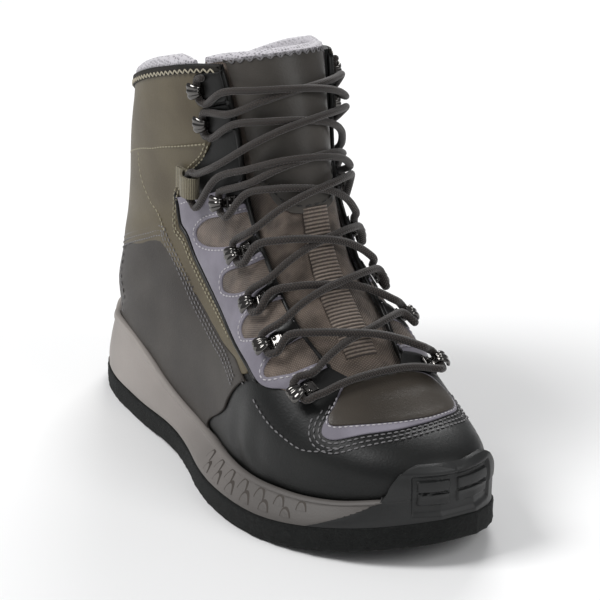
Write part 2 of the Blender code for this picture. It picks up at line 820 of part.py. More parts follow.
def hook(name, number, side):
    origin, normal, up, away = hook_frame(number, side)
    profile = hook_profile()
    points = []
    for w in (-HOOK_WIDTH / 2, HOOK_WIDTH / 2):
        for u, n in profile:
            points.append(origin + away * u + normal * n + up * w)
    size = len(profile)
    faces = [(k, (k + 1) % size, size + (k + 1) % size, size + k) for k in range(size)]
    faces.append(tuple(range(size)))
    faces.append(tuple(range(2 * size - 1, size - 1, -1)))
    return add_body(name, points, faces, STEEL)


for index in range(len(HOOK_ROWS)):
    hook("hook_lateral_%d" % (index + 1), index, -1)
    hook("hook_medial_%d" % (index + 1), index, 1)


# Webbing loops at the ankle, each a folded strap round the lace
LOOP_ROW = 19.20
LOOP_TURN = 0.360
LOOP_LONG = 0.0058
LOOP_TALL = 0.0038
LOOP_MIDDLE = 0.002


def loop_frame(side):
    normal, up, away = frame_at(LOOP_ROW, LOOP_TURN, side)
    return surface(LOOP_ROW, LOOP_TURN, side) + normal * HOOK_SEAT, normal, up, away


def ankle_loop(name, side):
    origin, normal, up, away = loop_frame(side)
    count = 12
    outer = []
    inner = []
    for k in range(count):
        c = math.cos(2 * math.pi * k / count)
        s = math.sin(2 * math.pi * k / count)
        outer.append((LOOP_MIDDLE + c * LOOP_LONG, LOOP_TALL + s * LOOP_TALL))
        inner.append((LOOP_MIDDLE + c * (LOOP_LONG - LOOP_STRAP),
                      LOOP_TALL + s * (LOOP_TALL - LOOP_STRAP)))
    tail = LOOP_MIDDLE + LOOP_TAIL
    outer[0] = (tail, LOOP_STRAP * 0.7)
    outer[1] = (tail, LOOP_STRAP * 1.85)
    outer[2] = (LOOP_MIDDLE + LOOP_LONG * 0.8, LOOP_TALL * 1.45)
    outer[-1] = (LOOP_MIDDLE + LOOP_TAIL * 0.7, 0.0)
    rings = []
    for w, loop in ((-1, outer), (1, outer), (1, inner), (-1, inner)):
        rings.append(np.array([origin + away * u + normal * n + up * w * LOOP_WIDTH / 2
                               for u, n in loop]))
    return rings_body(name, rings, WEBBING)


ankle_loop("ankle_loop_lateral", -1)
ankle_loop("ankle_loop_medial", 1)


# Laces: two strands that cross over the tongue and pass behind each hook
LACE_R = LACE_DIAMETER / 2
CENTRE_LIFT = 0.0038
CROSS_STEP = 0.0017
END_RISE = 0.0036

# How a lace comes up to a hook or a loop and passes it; it goes on the same way.
# Columns: away from the throat, up the shoe from the end of the hook or the loop
HOOK_ROUTE = np.array([
    [-0.0055, 0.0007],
    [-0.0026, 0.0003],
    [-0.0006, -0.0007],
])
LOOP_ROUTE = np.array([
    [-0.0060, 0.0035],
    [-0.0010, 0.0025],
    [0.0018, -0.0005],
])


def passing(frame, route, height):
    """Lace points at a height, up one side of a route and down the other."""
    origin, normal, up, away = frame
    rows = [(a, -b) for a, b in route] + [(a, b) for a, b in route[::-1] if b > 0]
    return [origin + away * a + up * b + normal * height for a, b in rows]


def hook_pass(number, side):
    """Lace points behind a hook, from below it to above it."""
    beside = HOOK_WIDTH / 2 + GAP + LACE_R
    route = np.vstack([HOOK_ROUTE + [LACE_R, beside], [LACE_R, 0.0]])
    return passing(hook_frame(number, side), route, HOOK_SHEET + GAP + LACE_R)


def loop_pass(side):
    """Lace points through an ankle loop, from below it to above it."""
    return passing(loop_frame(side), LOOP_ROUTE + [0.0, LOOP_WIDTH / 2], LOOP_TALL)


def run_between(a, b, lift):
    """Lace points over the tongue between two places (section, signed turn)."""
    out = []
    for s in np.linspace(0.14, 0.86, 6):
        t = a[0] + (b[0] - a[0]) * s
        signed = a[1] + (b[1] - a[1]) * s
        side = 1 if signed > 0 else -1
        rise = lift + END_RISE * abs(2 * s - 1) ** 1.5
        out.append(skin(t, abs(signed), side, rise))
    return out


def strand(first, lift):
    """One strand, starting on the given side at the lowest hook."""
    stops = []
    side = first
    for number in range(5):
        stops.append(("hook", number, side))
        side = -side
    stops.append(("loop", 0, side))
    side = -side
    for number in (5, 6):
        stops.append(("hook", number, side))
        side = -side
    path = []
    previous = None
    for kind, number, side in stops:
        if kind == "hook":
            here = (HOOK_ROWS[number], HOOK_TURNS[number] * side)
            points = hook_pass(number, side)
        else:
            here = (LOOP_ROW, LOOP_TURN * side)
            points = loop_pass(side)
        if path:
            path += run_between(previous, here, lift)
        path += points
        previous = here
    return path


def tube(points, radius, sides=5):
    """Rings of a round tube along a line of points."""
    p = np.array(points)
    tangent = np.gradient(p, axis=0)
    tangent /= np.linalg.norm(tangent, axis=1, keepdims=True)
    side = np.cross(tangent[0], [0, 0, 1.0])
    rings = []
    for k in range(len(p)):
        side = side - tangent[k] * np.dot(side, tangent[k])
        side /= np.linalg.norm(side)
        other = np.cross(tangent[k], side)
        turn = [2 * math.pi * m / sides for m in range(sides)]
        rings.append(np.array([p[k] + radius * (math.cos(a) * side + math.sin(a) * other)
                               for a in turn]))
    return rings


def build_laces():
    left = strand(-1, CENTRE_LIFT)
    right = strand(1, CENTRE_LIFT + CROSS_STEP)
    bar = []
    for s in np.linspace(0.12, 0.88, 7):
        signed = (2 * s - 1) * HOOK_TURNS[0]
        side = 1 if signed > 0 else -1
        bar.append(skin(HOOK_ROWS[0] - 0.35, abs(signed), side, CENTRE_LIFT + 0.0010))
    bar = [left[0]] + bar + [right[0]]
    first = rings_body("laces", tube(left, LACE_R), LACE, ends=True)
    tools = [rings_body("lace_strand_tool", tube(right, LACE_R), LACE, ends=True),
             rings_body("lace_bar_tool", tube(bar, LACE_R * 0.99), LACE, ends=True)]
    for tool in tools:
        join = first.modifiers.new("join", "BOOLEAN")
        join.operation = "UNION"
        join.solver = "EXACT"
        join.object = tool
        tool.hide_render = True
        tool.display_type = "WIRE"
    return first


build_laces()
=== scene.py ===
# Looks of a right-foot wading boot: laced upper of coated leather, synthetic leather
# and mesh on a moulded midsole, with a rubber toe bumper and a felt outsole.
# X points to the toe, Y to the inner side of the foot, Z up; metres throughout.

import math

import bpy
import numpy as np
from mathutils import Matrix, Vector, noise
from mathutils.geometry import delaunay_2d_cdt


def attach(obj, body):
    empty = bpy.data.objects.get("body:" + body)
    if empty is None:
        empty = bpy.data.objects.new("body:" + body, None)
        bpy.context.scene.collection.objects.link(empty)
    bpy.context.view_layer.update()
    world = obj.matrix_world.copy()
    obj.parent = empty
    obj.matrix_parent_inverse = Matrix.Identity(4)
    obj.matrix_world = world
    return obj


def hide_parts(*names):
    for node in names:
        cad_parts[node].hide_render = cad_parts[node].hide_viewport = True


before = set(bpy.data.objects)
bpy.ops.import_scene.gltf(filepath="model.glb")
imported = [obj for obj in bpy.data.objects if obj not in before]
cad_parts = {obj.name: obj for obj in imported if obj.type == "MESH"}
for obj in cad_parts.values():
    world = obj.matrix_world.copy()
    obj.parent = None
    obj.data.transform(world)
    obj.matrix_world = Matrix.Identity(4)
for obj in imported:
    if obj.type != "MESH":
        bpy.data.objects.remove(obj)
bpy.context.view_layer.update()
bpy.ops.object.select_all(action="DESELECT")

# Camera: a long lens in front of the toe and to the outer side, about 22 degrees above
# the floor, aimed at the middle of the boot.
TURN = math.radians(60.9)
RAISE = math.radians(21.9)
DISTANCE = 1.2
TOWARDS = Vector((math.sin(TURN) * math.cos(RAISE), -math.cos(TURN) * math.cos(RAISE),
                  math.sin(RAISE)))
ORBIT_CENTRE = Vector((0.110, 0.0, 0.060))
AIM = Vector((0.1141, 0.0102, 0.0838))
camera = bpy.data.cameras.new("camera")
camera.lens = 139.5
camera.sensor_width = 36.0
view = bpy.data.objects.new("camera", camera)
view.location = ORBIT_CENTRE + TOWARDS * DISTANCE
view.rotation_euler = (view.location - AIM).to_track_quat("Z", "Y").to_euler()
bpy.context.collection.objects.link(view)
bpy.context.scene.camera = view


# Studio: a pale floor that runs out of sight, one large soft light high on the left,
# a weaker one on the right and a strip behind that draws the edges.
def linear(code):
    """sRGB hex value as the linear colour that a shader takes."""
    parts = [int(code[k:k + 2], 16) / 255 for k in (1, 3, 5)]
    return [c / 12.92 if c <= 0.04045 else ((c + 0.055) / 1.055) ** 2.4 for c in parts] + [1.0]


def new_look(name, rough, metal=0.0, **shader_sockets):
    """A material with its shader; other sockets are named with _ for a space."""
    look = bpy.data.materials.new(name)
    look.use_nodes = True
    shader = look.node_tree.nodes["Principled BSDF"]
    shader.inputs["Roughness"].default_value = rough
    shader.inputs["Metallic"].default_value = metal
    for socket, value in shader_sockets.items():
        shader.inputs[socket.replace("_", " ")].default_value = value
    return look, shader


def add(look, kind, sockets=None, **settings):
    """Adds a node to a material; a socket takes a number, a colour or another's output."""
    made = look.node_tree.nodes.new("ShaderNode" + kind)
    for name, value in settings.items():
        setattr(made, name, value)
    for name, value in (sockets or {}).items():
        if isinstance(value, bpy.types.NodeSocket):
            look.node_tree.links.new(value, made.inputs[name])
        else:
            made.inputs[name].default_value = value
    return made


LAMP_AIM = Vector((0.1, 0.0, 0.1))
floor_look, floor_shader = new_look("pale studio paper", 0.9)
floor_shader.inputs["Base Color"].default_value = linear("#f4f4f4")
bpy.ops.mesh.primitive_circle_add(vertices=64, radius=3.0, fill_type="NGON")
floor = bpy.context.object
floor.name = "studio_floor"
floor.data.materials.append(floor_look)

world = bpy.data.worlds.new("studio")
world.use_nodes = True
world.node_tree.nodes["Background"].inputs["Color"].default_value = linear("#f4f5f7")
world.node_tree.nodes["Background"].inputs["Strength"].default_value = 0.30
bpy.context.scene.world = world
bpy.context.scene.view_settings.view_transform = "Standard"
for name, place, size, power in (("key", (-0.10, -1.10, 1.45), 0.7, 22.0),
                                 ("fill", (1.4, 0.5, 1.1), 0.8, 8.0),
                                 ("edge", (-0.9, 0.9, 1.2), 0.7, 14.0)):
    lamp = bpy.data.lights.new(name, "AREA")
    lamp.size = size
    lamp.energy = power
    lit = bpy.data.objects.new(name, lamp)
    lit.location = place
    lit.rotation_euler = (Vector(place) - LAMP_AIM).to_track_quat("Z", "Y").to_euler()
    bpy.context.collection.objects.link(lit)


# Last: the form that the upper was pulled over. The other pieces take their place from
# its sections, each a flat cut from the centre line down to the foot or the back seam.
# Columns: front X, front Z, back X, back Z (shares of length and shaft height), centre
# Y, inner and outer half width, the same at the foot (shares of the sole's width),
# where it is widest, front and back roundness.
SOLE_LENGTH = 0.310
SOLE_WIDTH = 0.120
SHAFT_HEIGHT = 0.200
HEEL_SETBACK = 0.045
HEEL_ROW = 17.0
THROAT_ROW = 5.65
SECTIONS = np.array([
    [.984, .200, .984, .150, .090, .000, .000, .000, .000, .55, 2.20, 2.2],
    [.979, .232, .979, .150, .088, .085, .090, .075, .080, .55, 2.20, 2.4],
    [.962, .262, .962, .144, .082, .175, .180, .155, .160, .56, 2.20, 2.5],
    [.930, .287, .930, .133, .070, .255, .262, .230, .235, .58, 2.25, 2.6],
    [.886, .309, .878, .119, .052, .322, .336, .290, .305, .60, 2.30, 2.7],
    [.832, .345, .816, .107, .032, .370, .396, .335, .362, .62, 2.35, 2.8],
    [.782, .400, .745, .101, .014, .395, .430, .350, .392, .64, 2.40, 2.8],
    [.733, .465, .675, .100, .004, .395, .435, .345, .390, .66, 2.45, 2.8],
    [.693, .525, .605, .102, .000, .362, .415, .270, .370, .68, 2.50, 2.8],
    [.664, .575, .533, .106, .000, .330, .380, .190, .340, .70, 2.50, 2.8],
    [.645, .620, .450, .112, .000, .312, .352, .145, .315, .70, 2.50, 2.8],
    [.633, .662, .360, .119, .000, .308, .335, .150, .300, .68, 2.50, 2.8],
    [.625, .698, .270, .125, .000, .309, .325, .200, .290, .66, 2.50, 2.8],
    [.619, .732, .180, .129, .000, .310, .318, .242, .275, .64, 2.50, 2.8],
    [.614, .762, .110, .130, .000, .308, .314, .235, .240, .62, 2.50, 2.8],
    [.610, .788, .065, .131, .000, .306, .312, .170, .172, .60, 2.50, 2.8],
    [.606, .812, .043, .133, .000, .305, .310, .085, .086, .59, 2.50, 2.8],
    [.603, .832, .036, .150, .000, .304, .309, .000, .000, .58, 2.45, 2.6],
    [.600, .852, .034, .210, .000, .304, .308, .000, .000, .58, 2.40, 2.5],
    [.594, .882, .046, .330, .000, .306, .308, .000, .000, .57, 2.40, 2.4],
    [.587, .916, .074, .470, .000, .310, .312, .000, .000, .56, 2.35, 2.3],
    [.578, .955, .098, .610, .000, .318, .320, .000, .000, .55, 2.30, 2.3],
    [.568, .995, .116, .740, .000, .326, .330, .000, .000, .54, 2.30, 2.3],
    [.558, 1.035, .130, .840, .000, .333, .338, .000, .000, .53, 2.30, 2.3],
    [.548, 1.070, .138, .910, .000, .340, .345, .000, .000, .52, 2.30, 2.3],
    [.540, 1.102, .144, .970, .000, .346, .351, .000, .000, .52, 2.30, 2.3],
    [.532, 1.132, .150, 1.02, .000, .350, .355, .000, .000, .52, 2.30, 2.3],
])
# Half width of the throat, as a share of the way round, by section
THROAT = np.array([
    [5.65, 0.060], [5.85, 0.092], [6.40, 0.108], [7.20, 0.128], [9.00, 0.160], [11.5, 0.195],
    [15.0, 0.213], [18.0, 0.222], [20.5, 0.228], [22.0, 0.235], [25.0, 0.250],
])
# Section at the collar, by the share of the way from throat to back
COLLAR = np.array([
    [0.00, 24.30], [0.12, 24.45], [0.30, 24.40], [0.50, 24.10], [0.70, 23.70], [0.88, 23.15],
    [1.00, 22.95],
])


def table(rows, at, column=1):
    """Smooth value of one column of a table at a given value of its first column."""
    x = rows[:, 0]
    y = rows[:, column]
    at = np.clip(np.asarray(at, float), x[0], x[-1])
    slope = np.gradient(y, x)
    i = np.clip(np.searchsorted(x, at) - 1, 0, len(x) - 2)
    h = x[i + 1] - x[i]
    f = (at - x[i]) / h
    a = (1 + 2 * f) * (1 - f) ** 2 * y[i] + f * (1 - f) ** 2 * h * slope[i]
    b = f * f * (3 - 2 * f) * y[i + 1] + f * f * (f - 1) * h * slope[i + 1]
    return a + b


def through(rows, at):
    """Rows of a table blended smoothly, at counted from 0."""
    rows = np.vstack([2 * rows[0] - rows[1], rows, 2 * rows[-1] - rows[-2]])
    at = np.clip(np.asarray(at, float), 0, len(rows) - 3)
    i = np.minimum(at.astype(int), len(rows) - 4)
    f = (at - i)[..., None]
    a, b, c, d = rows[i], rows[i + 1], rows[i + 2], rows[i + 3]
    cubic = (3 * b - a - 3 * c + d) * f ** 3
    return 0.5 * (2 * b + (c - a) * f + (2 * a - 5 * b + 4 * c - d) * f ** 2 + cubic)


def surface(t, v, side):
    """Outer face of the last: v runs from the centre line (0) to the foot (1)."""
    t, v = np.broadcast_arrays(np.asarray(t, float), np.asarray(v, float))
    row = through(SECTIONS, t)
    fx, fz, bx, bz, yc, wi, wo, bi, bo, widest, pf, pb = [row[..., k] for k in range(12)]
    wide = np.maximum(np.where(side > 0, wi, wo), 0)
    foot = np.maximum(np.where(side > 0, bi, bo), 0)
    turn = np.clip(v, 0, 1) * math.pi
    front = np.clip(turn, 0, math.pi / 2)
    back = np.clip(turn - math.pi / 2, 0, math.pi / 2)
    early = turn <= math.pi / 2
    down = np.where(early, widest * (1 - np.cos(front) ** (2 / pf)),
                    widest + (1 - widest) * np.sin(back) ** (2 / pb))
    out = np.where(early, wide * np.sin(front) ** (2 / pf),
                   foot + (wide - foot) * np.abs(np.cos(back)) ** (2 / pb))
    x = (fx + (bx - fx) * down) * SOLE_LENGTH - HEEL_SETBACK
    y = (yc + side * out) * SOLE_WIDTH
    z = (fz + (bz - fz) * down) * SHAFT_HEIGHT
    return np.stack([x, y, z], -1)


def unit(v):
    """Vectors brought to a length of 1."""
    return v / np.maximum(np.linalg.norm(v, axis=-1, keepdims=True), 1e-12)


def frame_at(t, v, side):
    """Outward normal, direction up the shoe and direction away from the throat."""
    t, v = np.broadcast_arrays(np.asarray(t, float), np.asarray(v, float))
    up = surface(t + 0.06, v, side) - surface(t - 0.06, v, side)
    away = surface(t, v + 0.012, side) - surface(t, v - 0.012, side)
    sign = np.asarray(side)[..., None]
    normal = unit(np.cross(up, away) * -sign)
    up = unit(up)
    return normal, up, np.cross(up, normal) * sign


def skin(t, v, side, lift=0.0):
    """Point at a height over the last."""
    return surface(t, v, side) + frame_at(t, v, side)[0] * np.asarray(lift)[..., None]


def split(w):
    """Place and side of a signed turn: 0 the centre line, 1 the outer foot line or back
    seam and on to the inner side past it, -1 the inner one."""
    w = np.asarray(w, float)
    w = np.where(np.abs(w) > 1, w - 2 * np.sign(w), w)
    return np.abs(w), np.where(w >= 0, -1, 1)


# Soft creases of the worn-in upper, from one place (section, signed turn) to another.
# Columns: section, turn, section, turn, height (down when negative), half width.
CREASES = np.array([
    [18.6, 0.36, 19.9, 0.74, -0.0012, 0.0065],
    [17.4, 0.40, 18.3, 0.80, 0.0008, 0.0080],
    [16.2, 0.46, 16.6, 0.76, -0.0009, 0.0070],
    [20.4, 0.72, 20.9, 1.28, -0.0013, 0.0080],
    [7.6, 0.44, 6.9, 0.80, -0.0009, 0.0060],
    [6.5, 0.42, 5.8, 0.74, -0.0007, 0.0055],
    [7.0, 0.46, 6.4, 0.72, 0.0006, 0.0050],
    [12.6, 0.50, 13.6, 0.80, 0.0010, 0.0110],
])


def line_distance(points, line):
    """Distance to a run of points, and the share of the run where it is nearest."""
    best = np.full(points.shape[:-1], 1e9)
    share = np.zeros(points.shape[:-1])
    for k in range(len(line) - 1):
        a = line[k]
        ab = line[k + 1] - a
        f = np.clip(((points - a) @ ab) / (ab @ ab), 0, 1)
        d = np.linalg.norm(points - a - f[..., None] * ab, axis=-1)
        share = np.where(d < best, (k + f) / (len(line) - 1), share)
        best = np.minimum(d, best)
    return best, share


def creased(t, w):
    """Height of the creases at a place on the upper."""
    v, side = split(w)
    here = surface(t, v, side)
    height = np.zeros(here.shape[:-1])
    for mirror in (1, -1):
        for t0, w0, t1, w1, deep, wide in CREASES:
            f = np.linspace(0, 1, 7)
            bow = 0.25 * np.sin(math.pi * f)
            run_v, run_side = split(mirror * (w0 + (w1 - w0) * f))
            run = surface(t0 + (t1 - t0) * f + bow, run_v, run_side)
            near, share = line_distance(here, run)
            fade = np.clip(np.sin(math.pi * (0.08 + 0.84 * share)), 0, 1)
            height += deep * np.exp(-(near / wide) ** 2) * fade
    return height


def on_upper(t, w, lift=0.0):
    """Point at a height over the upper, creases included."""
    v, side = split(w)
    return skin(t, v, side, np.asarray(lift) + creased(t, w))


# Outsole: needled wool felt 12 mm thick, cut to the plan of the sole and glued on, with
# one lockstitched seam let into the walking side. Its cut edge shows the fibres.
FELT_THICKNESS = 0.012
FELT_SEAM_INSET = 0.012
TOE_SPRING = 0.013
HEEL_SPRING = 0.002
ARCH_RISE = 0.0015
GAP = 0.0003
# Plan from heel to toe. Columns: share of the length, inner and outer edge from the
# centre line as shares of the width.
OUTLINE = np.array([
    [0.00, 0.075, -0.075], [0.01, 0.142, -0.142], [0.03, 0.217, -0.217], [0.06, 0.279, -0.283],
    [0.10, 0.325, -0.333], [0.15, 0.354, -0.367], [0.20, 0.354, -0.383], [0.30, 0.325, -0.400],
    [0.38, 0.302, -0.408], [0.44, 0.298, -0.421], [0.50, 0.316, -0.450], [0.56, 0.350, -0.492],
    [0.62, 0.408, -0.521], [0.68, 0.450, -0.529], [0.74, 0.471, -0.517], [0.80, 0.471, -0.479],
    [0.86, 0.442, -0.408], [0.91, 0.396, -0.321], [0.95, 0.334, -0.221], [0.98, 0.258, -0.105],
    [1.00, 0.170, 0.010],
])


def sole_plan(count):
    """Closed plan of the sole, down the outer side and back up the inner."""
    rows = through(OUTLINE, np.linspace(0, len(OUTLINE) - 1, count))
    x = rows[:, 0] * SOLE_LENGTH - HEEL_SETBACK
    outer = np.stack([x, rows[:, 2] * SOLE_WIDTH], -1)
    inner = np.stack([x, rows[:, 1] * SOLE_WIDTH], -1)
    return np.concatenate([outer, inner[::-1]])


def inset(plan, by):
    """A closed plan moved inward along its own normals."""
    along = np.roll(plan, -1, 0) - np.roll(plan, 1, 0)
    return plan - unit(np.stack([along[:, 1], -along[:, 0]], -1)) * by


def ground(x):
    """Height of the felt's underside along the length: flat at heel and forefoot."""
    s = (np.asarray(x, float) + HEEL_SETBACK) / SOLE_LENGTH
    toe = TOE_SPRING * np.clip((s - 0.74) / 0.26, 0, 1) ** 1.8
    heel = HEEL_SPRING * np.clip((0.06 - s) / 0.06, 0, 1) ** 1.5
    return toe + heel + ARCH_RISE * np.sin(math.pi * np.clip((s - 0.26) / 0.28, 0, 1)) ** 2


def start_grid(name, rows, columns):
    """A flat grid of faces; also the share along and across it of each corner."""
    bpy.ops.object.select_all(action="DESELECT")
    bpy.ops.mesh.primitive_grid_add(x_subdivisions=columns, y_subdivisions=rows, size=2.0)
    piece = bpy.context.object
    piece.name = name
    flat = np.empty(len(piece.data.vertices) * 3, np.float32)
    piece.data.vertices.foreach_get("co", flat)
    flat = flat.reshape(-1, 3)
    return piece, (flat[:, 1] + 1.0) / 2, (flat[:, 0] + 1.0) / 2


def shape(piece, points):
    """Moves the corners of a piece to their places."""
    piece.data.vertices.foreach_set("co", np.asarray(points, np.float32).reshape(-1))
    piece.data.update()


def pick(*pieces):
    """Selects pieces and nothing else, the first of them active."""
    bpy.ops.object.select_all(action="DESELECT")
    for piece in pieces:
        piece.select_set(True)
    bpy.context.view_layer.objects.active = pieces[0]


def close_up(piece, caps=False, angle=40, merge=2e-5):
    """Merges corners that meet, fills open ends, turns the faces out and smooths them."""
    pick(piece)
    bpy.ops.object.mode_set(mode="EDIT")
    bpy.ops.mesh.select_all(action="SELECT")
    bpy.ops.mesh.remove_doubles(threshold=merge)
    bpy.ops.mesh.dissolve_degenerate(threshold=1e-6)
    if caps:
        bpy.ops.mesh.select_all(action="SELECT")
        bpy.ops.mesh.fill_holes(sides=0)
    bpy.ops.mesh.select_all(action="SELECT")
    bpy.ops.mesh.normals_make_consistent(inside=False)
    bpy.ops.object.mode_set(mode="OBJECT")
    bpy.ops.object.shade_smooth_by_angle(angle=math.radians(angle))


def ring_piece(name, rings, angle):
    """A closed piece through rings of points, filled at its first and last ring."""
    rings = np.array(rings)
    last = rings.shape[0] - 1
    around = rings.shape[1]
    piece, along, across = start_grid(name, last, around)
    i = np.rint(along * last).astype(int)
    k = np.rint(across * around).astype(int) % around
    shape(piece, rings[i, k])
    close_up(piece, caps=True, angle=angle)
    return piece


def finish_piece(piece, look, slot, *nodes):
    """Gives a piece its material and its place on the boot."""
    if look is not None:
        piece.data.materials.clear()
        piece.data.materials.append(look)
    if nodes:
        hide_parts(*nodes)
    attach(piece, "root")


def felt_look():
    """Needled wool felt: short dark fibres every way, with paler ones that catch light."""
    look, shader = new_look("needled wool felt", 0.95, Specular_IOR_Level=0.2, Sheen_Weight=0.05,
                            Sheen_Roughness=0.6)
    place = add(look, "TexCoord").outputs["Object"]
    # Single fibres are too fine to show, so they are drawn as tufts of about 1.4 mm
    fibre = add(look, "TexNoise", {"Vector": place, "Scale": 700.0, "Detail": 6.0,
                                   "Roughness": 0.75, "Distortion": 1.2})
    tint = add(look, "ValToRGB", {"Fac": fibre.outputs["Fac"]})
    tint.color_ramp.elements[0].position = 0.38
    tint.color_ramp.elements[0].color = linear("#070808")
    tint.color_ramp.elements[1].position = 0.72
    tint.color_ramp.elements[1].color = linear("#232524")
    middle = tint.color_ramp.elements.new(0.55)
    middle.color = linear("#121413")
    look.node_tree.links.new(tint.outputs["Color"], shader.inputs["Base Color"])
    bump = add(look, "Bump", {"Height": fibre.outputs["Fac"], "Strength": 0.9,
                              "Distance": 0.0011})
    look.node_tree.links.new(bump.outputs["Normal"], shader.inputs["Normal"])
    return look


def build_outsole():
    # Columns: inset, height over the underside; the two middle rows are the seam's groove
    rows = np.array([
        [0.0300, 0.0000], [FELT_SEAM_INSET + .0012, 0.0], [FELT_SEAM_INSET, 0.0007],
        [FELT_SEAM_INSET - .0012, 0.0], [0.0060, 0.0], [0.0012, 0.0000], [0.0003, 0.0004],
        [0.0, 0.0014], [0.0, 0.0035], [0.0, 0.0060], [0.0, 0.0085], [0.0, 0.0106],
        [0.0003, 0.0116], [0.0012, FELT_THICKNESS], [0.0060, FELT_THICKNESS],
    ])
    plan = sole_plan(150)
    rings = []
    for by, up in rows:
        ring = inset(plan, by)
        if 0 < up < FELT_THICKNESS and by < 0.001:
            away = unit(plan - inset(plan, 0.001))
            rough = [0.0005 * noise.noise(Vector((x * 330, y * 330, up * 500))) for x, y in plan]
            ring = ring + away * np.array(rough)[:, None]
        rings.append(np.column_stack([ring, ground(plan[:, 0]) + up]))
    piece = ring_piece("outsole_needled_felt", rings, 50)
    finish_piece(piece, felt_look(), "felt", "outsole_felt")


build_outsole()


# Midsole: one cup of injected foam rubber, matt from the mould, with a rounded lip that
# grips the upper and rows of raised scales on each side of the forefoot.
RIM_THICKNESS = 0.0032
MIDSOLE_INSET = 0.0008
BUMPER_THICKNESS = 0.0034
CUP_GAP = 0.0009
# Top line. Columns: share of the length, height as a share of the shaft's
RIM = np.array([
    [0.00, 0.225], [0.15, 0.222], [0.21, 0.211], [0.27, 0.184], [0.33, 0.151], [0.40, 0.128],
    [0.48, 0.119], [0.57, 0.117], [0.65, 0.117], [0.72, 0.120], [0.77, 0.125], [0.83, 0.131],
    [0.88, 0.142], [0.94, 0.168], [1.00, 0.190],
])
# Flare of the wall. Columns: share of its height, share of the way in from foot to rim
WALL_PROFILE = np.array([
    [0.00, 0.00], [0.16, 0.03], [0.45, 0.30], [0.75, 0.72], [0.93, 0.98], [1.00, 1.00],
])
# Back edge of the toe bumper. Columns: share of the wall's height, section
BUMPER_END = np.array([[0.00, 4.60], [0.30, 4.05], [0.70, 3.25], [1.00, 2.78]])
PLAN = sole_plan(41)


def rim_turn(t, side):
    """Place round a section where it meets the midsole's top line."""
    low = np.full(np.shape(t), 0.35)
    high = np.ones(np.shape(t))
    for _ in range(26):
        mid = 0.5 * (low + high)
        p = surface(t, mid, side)
        line = table(RIM, (p[..., 0] + HEEL_SETBACK) / SOLE_LENGTH) * SHAFT_HEIGHT
        low = np.where(p[..., 2] > line, mid, low)
        high = np.where(p[..., 2] > line, high, mid)
    return 0.5 * (low + high)


def rim_end():
    """Section whose back point is as high as the midsole's back."""
    t = np.linspace(HEEL_ROW, 22.0, 2001)
    return t[np.argmax(through(SECTIONS, t)[:, 3] >= RIM[0, 1])]


RIM_END = rim_end()


def sole_edge(points, normals):
    """Where a line from each point meets the felt's plan."""
    e = np.roll(PLAN, -1, 0) - PLAN
    cross = normals[:, :1] * e[:, 1] - normals[:, 1:] * e[:, 0]
    cross = np.where(np.abs(cross) < 1e-12, 1e-12, cross)
    wx = PLAN[:, 0] - points[:, :1]
    wy = PLAN[:, 1] - points[:, 1:]
    along = (wx * e[:, 1] - wy * e[:, 0]) / cross
    share = (wx * normals[:, 1:] - wy * normals[:, :1]) / cross
    hit = (share >= -1e-6) & (share <= 1 + 1e-6) & (along > 0)
    return points + normals * np.where(hit, along, 1e9).min(1)[:, None]


def wall(t, side, level, thick):
    """Outer face of the sole's wall, level 0 at the felt and 1 at the rim."""
    v = rim_turn(t, side)
    normal = unit(frame_at(t, v, side)[0][:, :2])
    rim = surface(t, v, side)
    edge = sole_edge(rim[:, :2], normal) - normal * MIDSOLE_INSET
    foot = ground(edge[:, 0]) + FELT_THICKNESS + GAP
    share = table(WALL_PROFILE, level)[:, None]
    plan = edge * (1 - share) + (rim[:, :2] + normal * (GAP + thick)[:, None]) * share
    return np.column_stack([plan, foot + (rim[:, 2] - foot) * level]), normal, rim, v


def run_along(points):
    """Length of a line of points from its start to each of them."""
    return np.concatenate([[0], np.cumsum(np.linalg.norm(np.diff(points, axis=0), axis=1))])


def even_along_rim(start, count):
    """Sections spaced evenly along the midsole's top line, from a start to the heel."""
    t = RIM_END - (RIM_END - start) * np.linspace(1, 0, 600) ** 3
    p = surface(t, rim_turn(t, np.full(t.shape, -1)), np.full(t.shape, -1))
    run = run_along(p)
    return np.interp(np.linspace(0, run[-1], count), run, t)


def mottled(look, shader, dark, light, size, spread=0.15):
    """Base colour that wanders between two tones over patches of a size in metres."""
    place = add(look, "TexCoord").outputs["Object"]
    cloud = add(look, "TexNoise", {"Vector": place, "Scale": 1 / size, "Detail": 4.0})
    tint = add(look, "ValToRGB", {"Fac": cloud.outputs["Fac"]})
    tint.color_ramp.elements[0].position = 0.5 - spread
    tint.color_ramp.elements[0].color = linear(dark)
    tint.color_ramp.elements[1].position = 0.5 + spread
    tint.color_ramp.elements[1].color = linear(light)
    look.node_tree.links.new(tint.outputs["Color"], shader.inputs["Base Color"])
    return place, tint


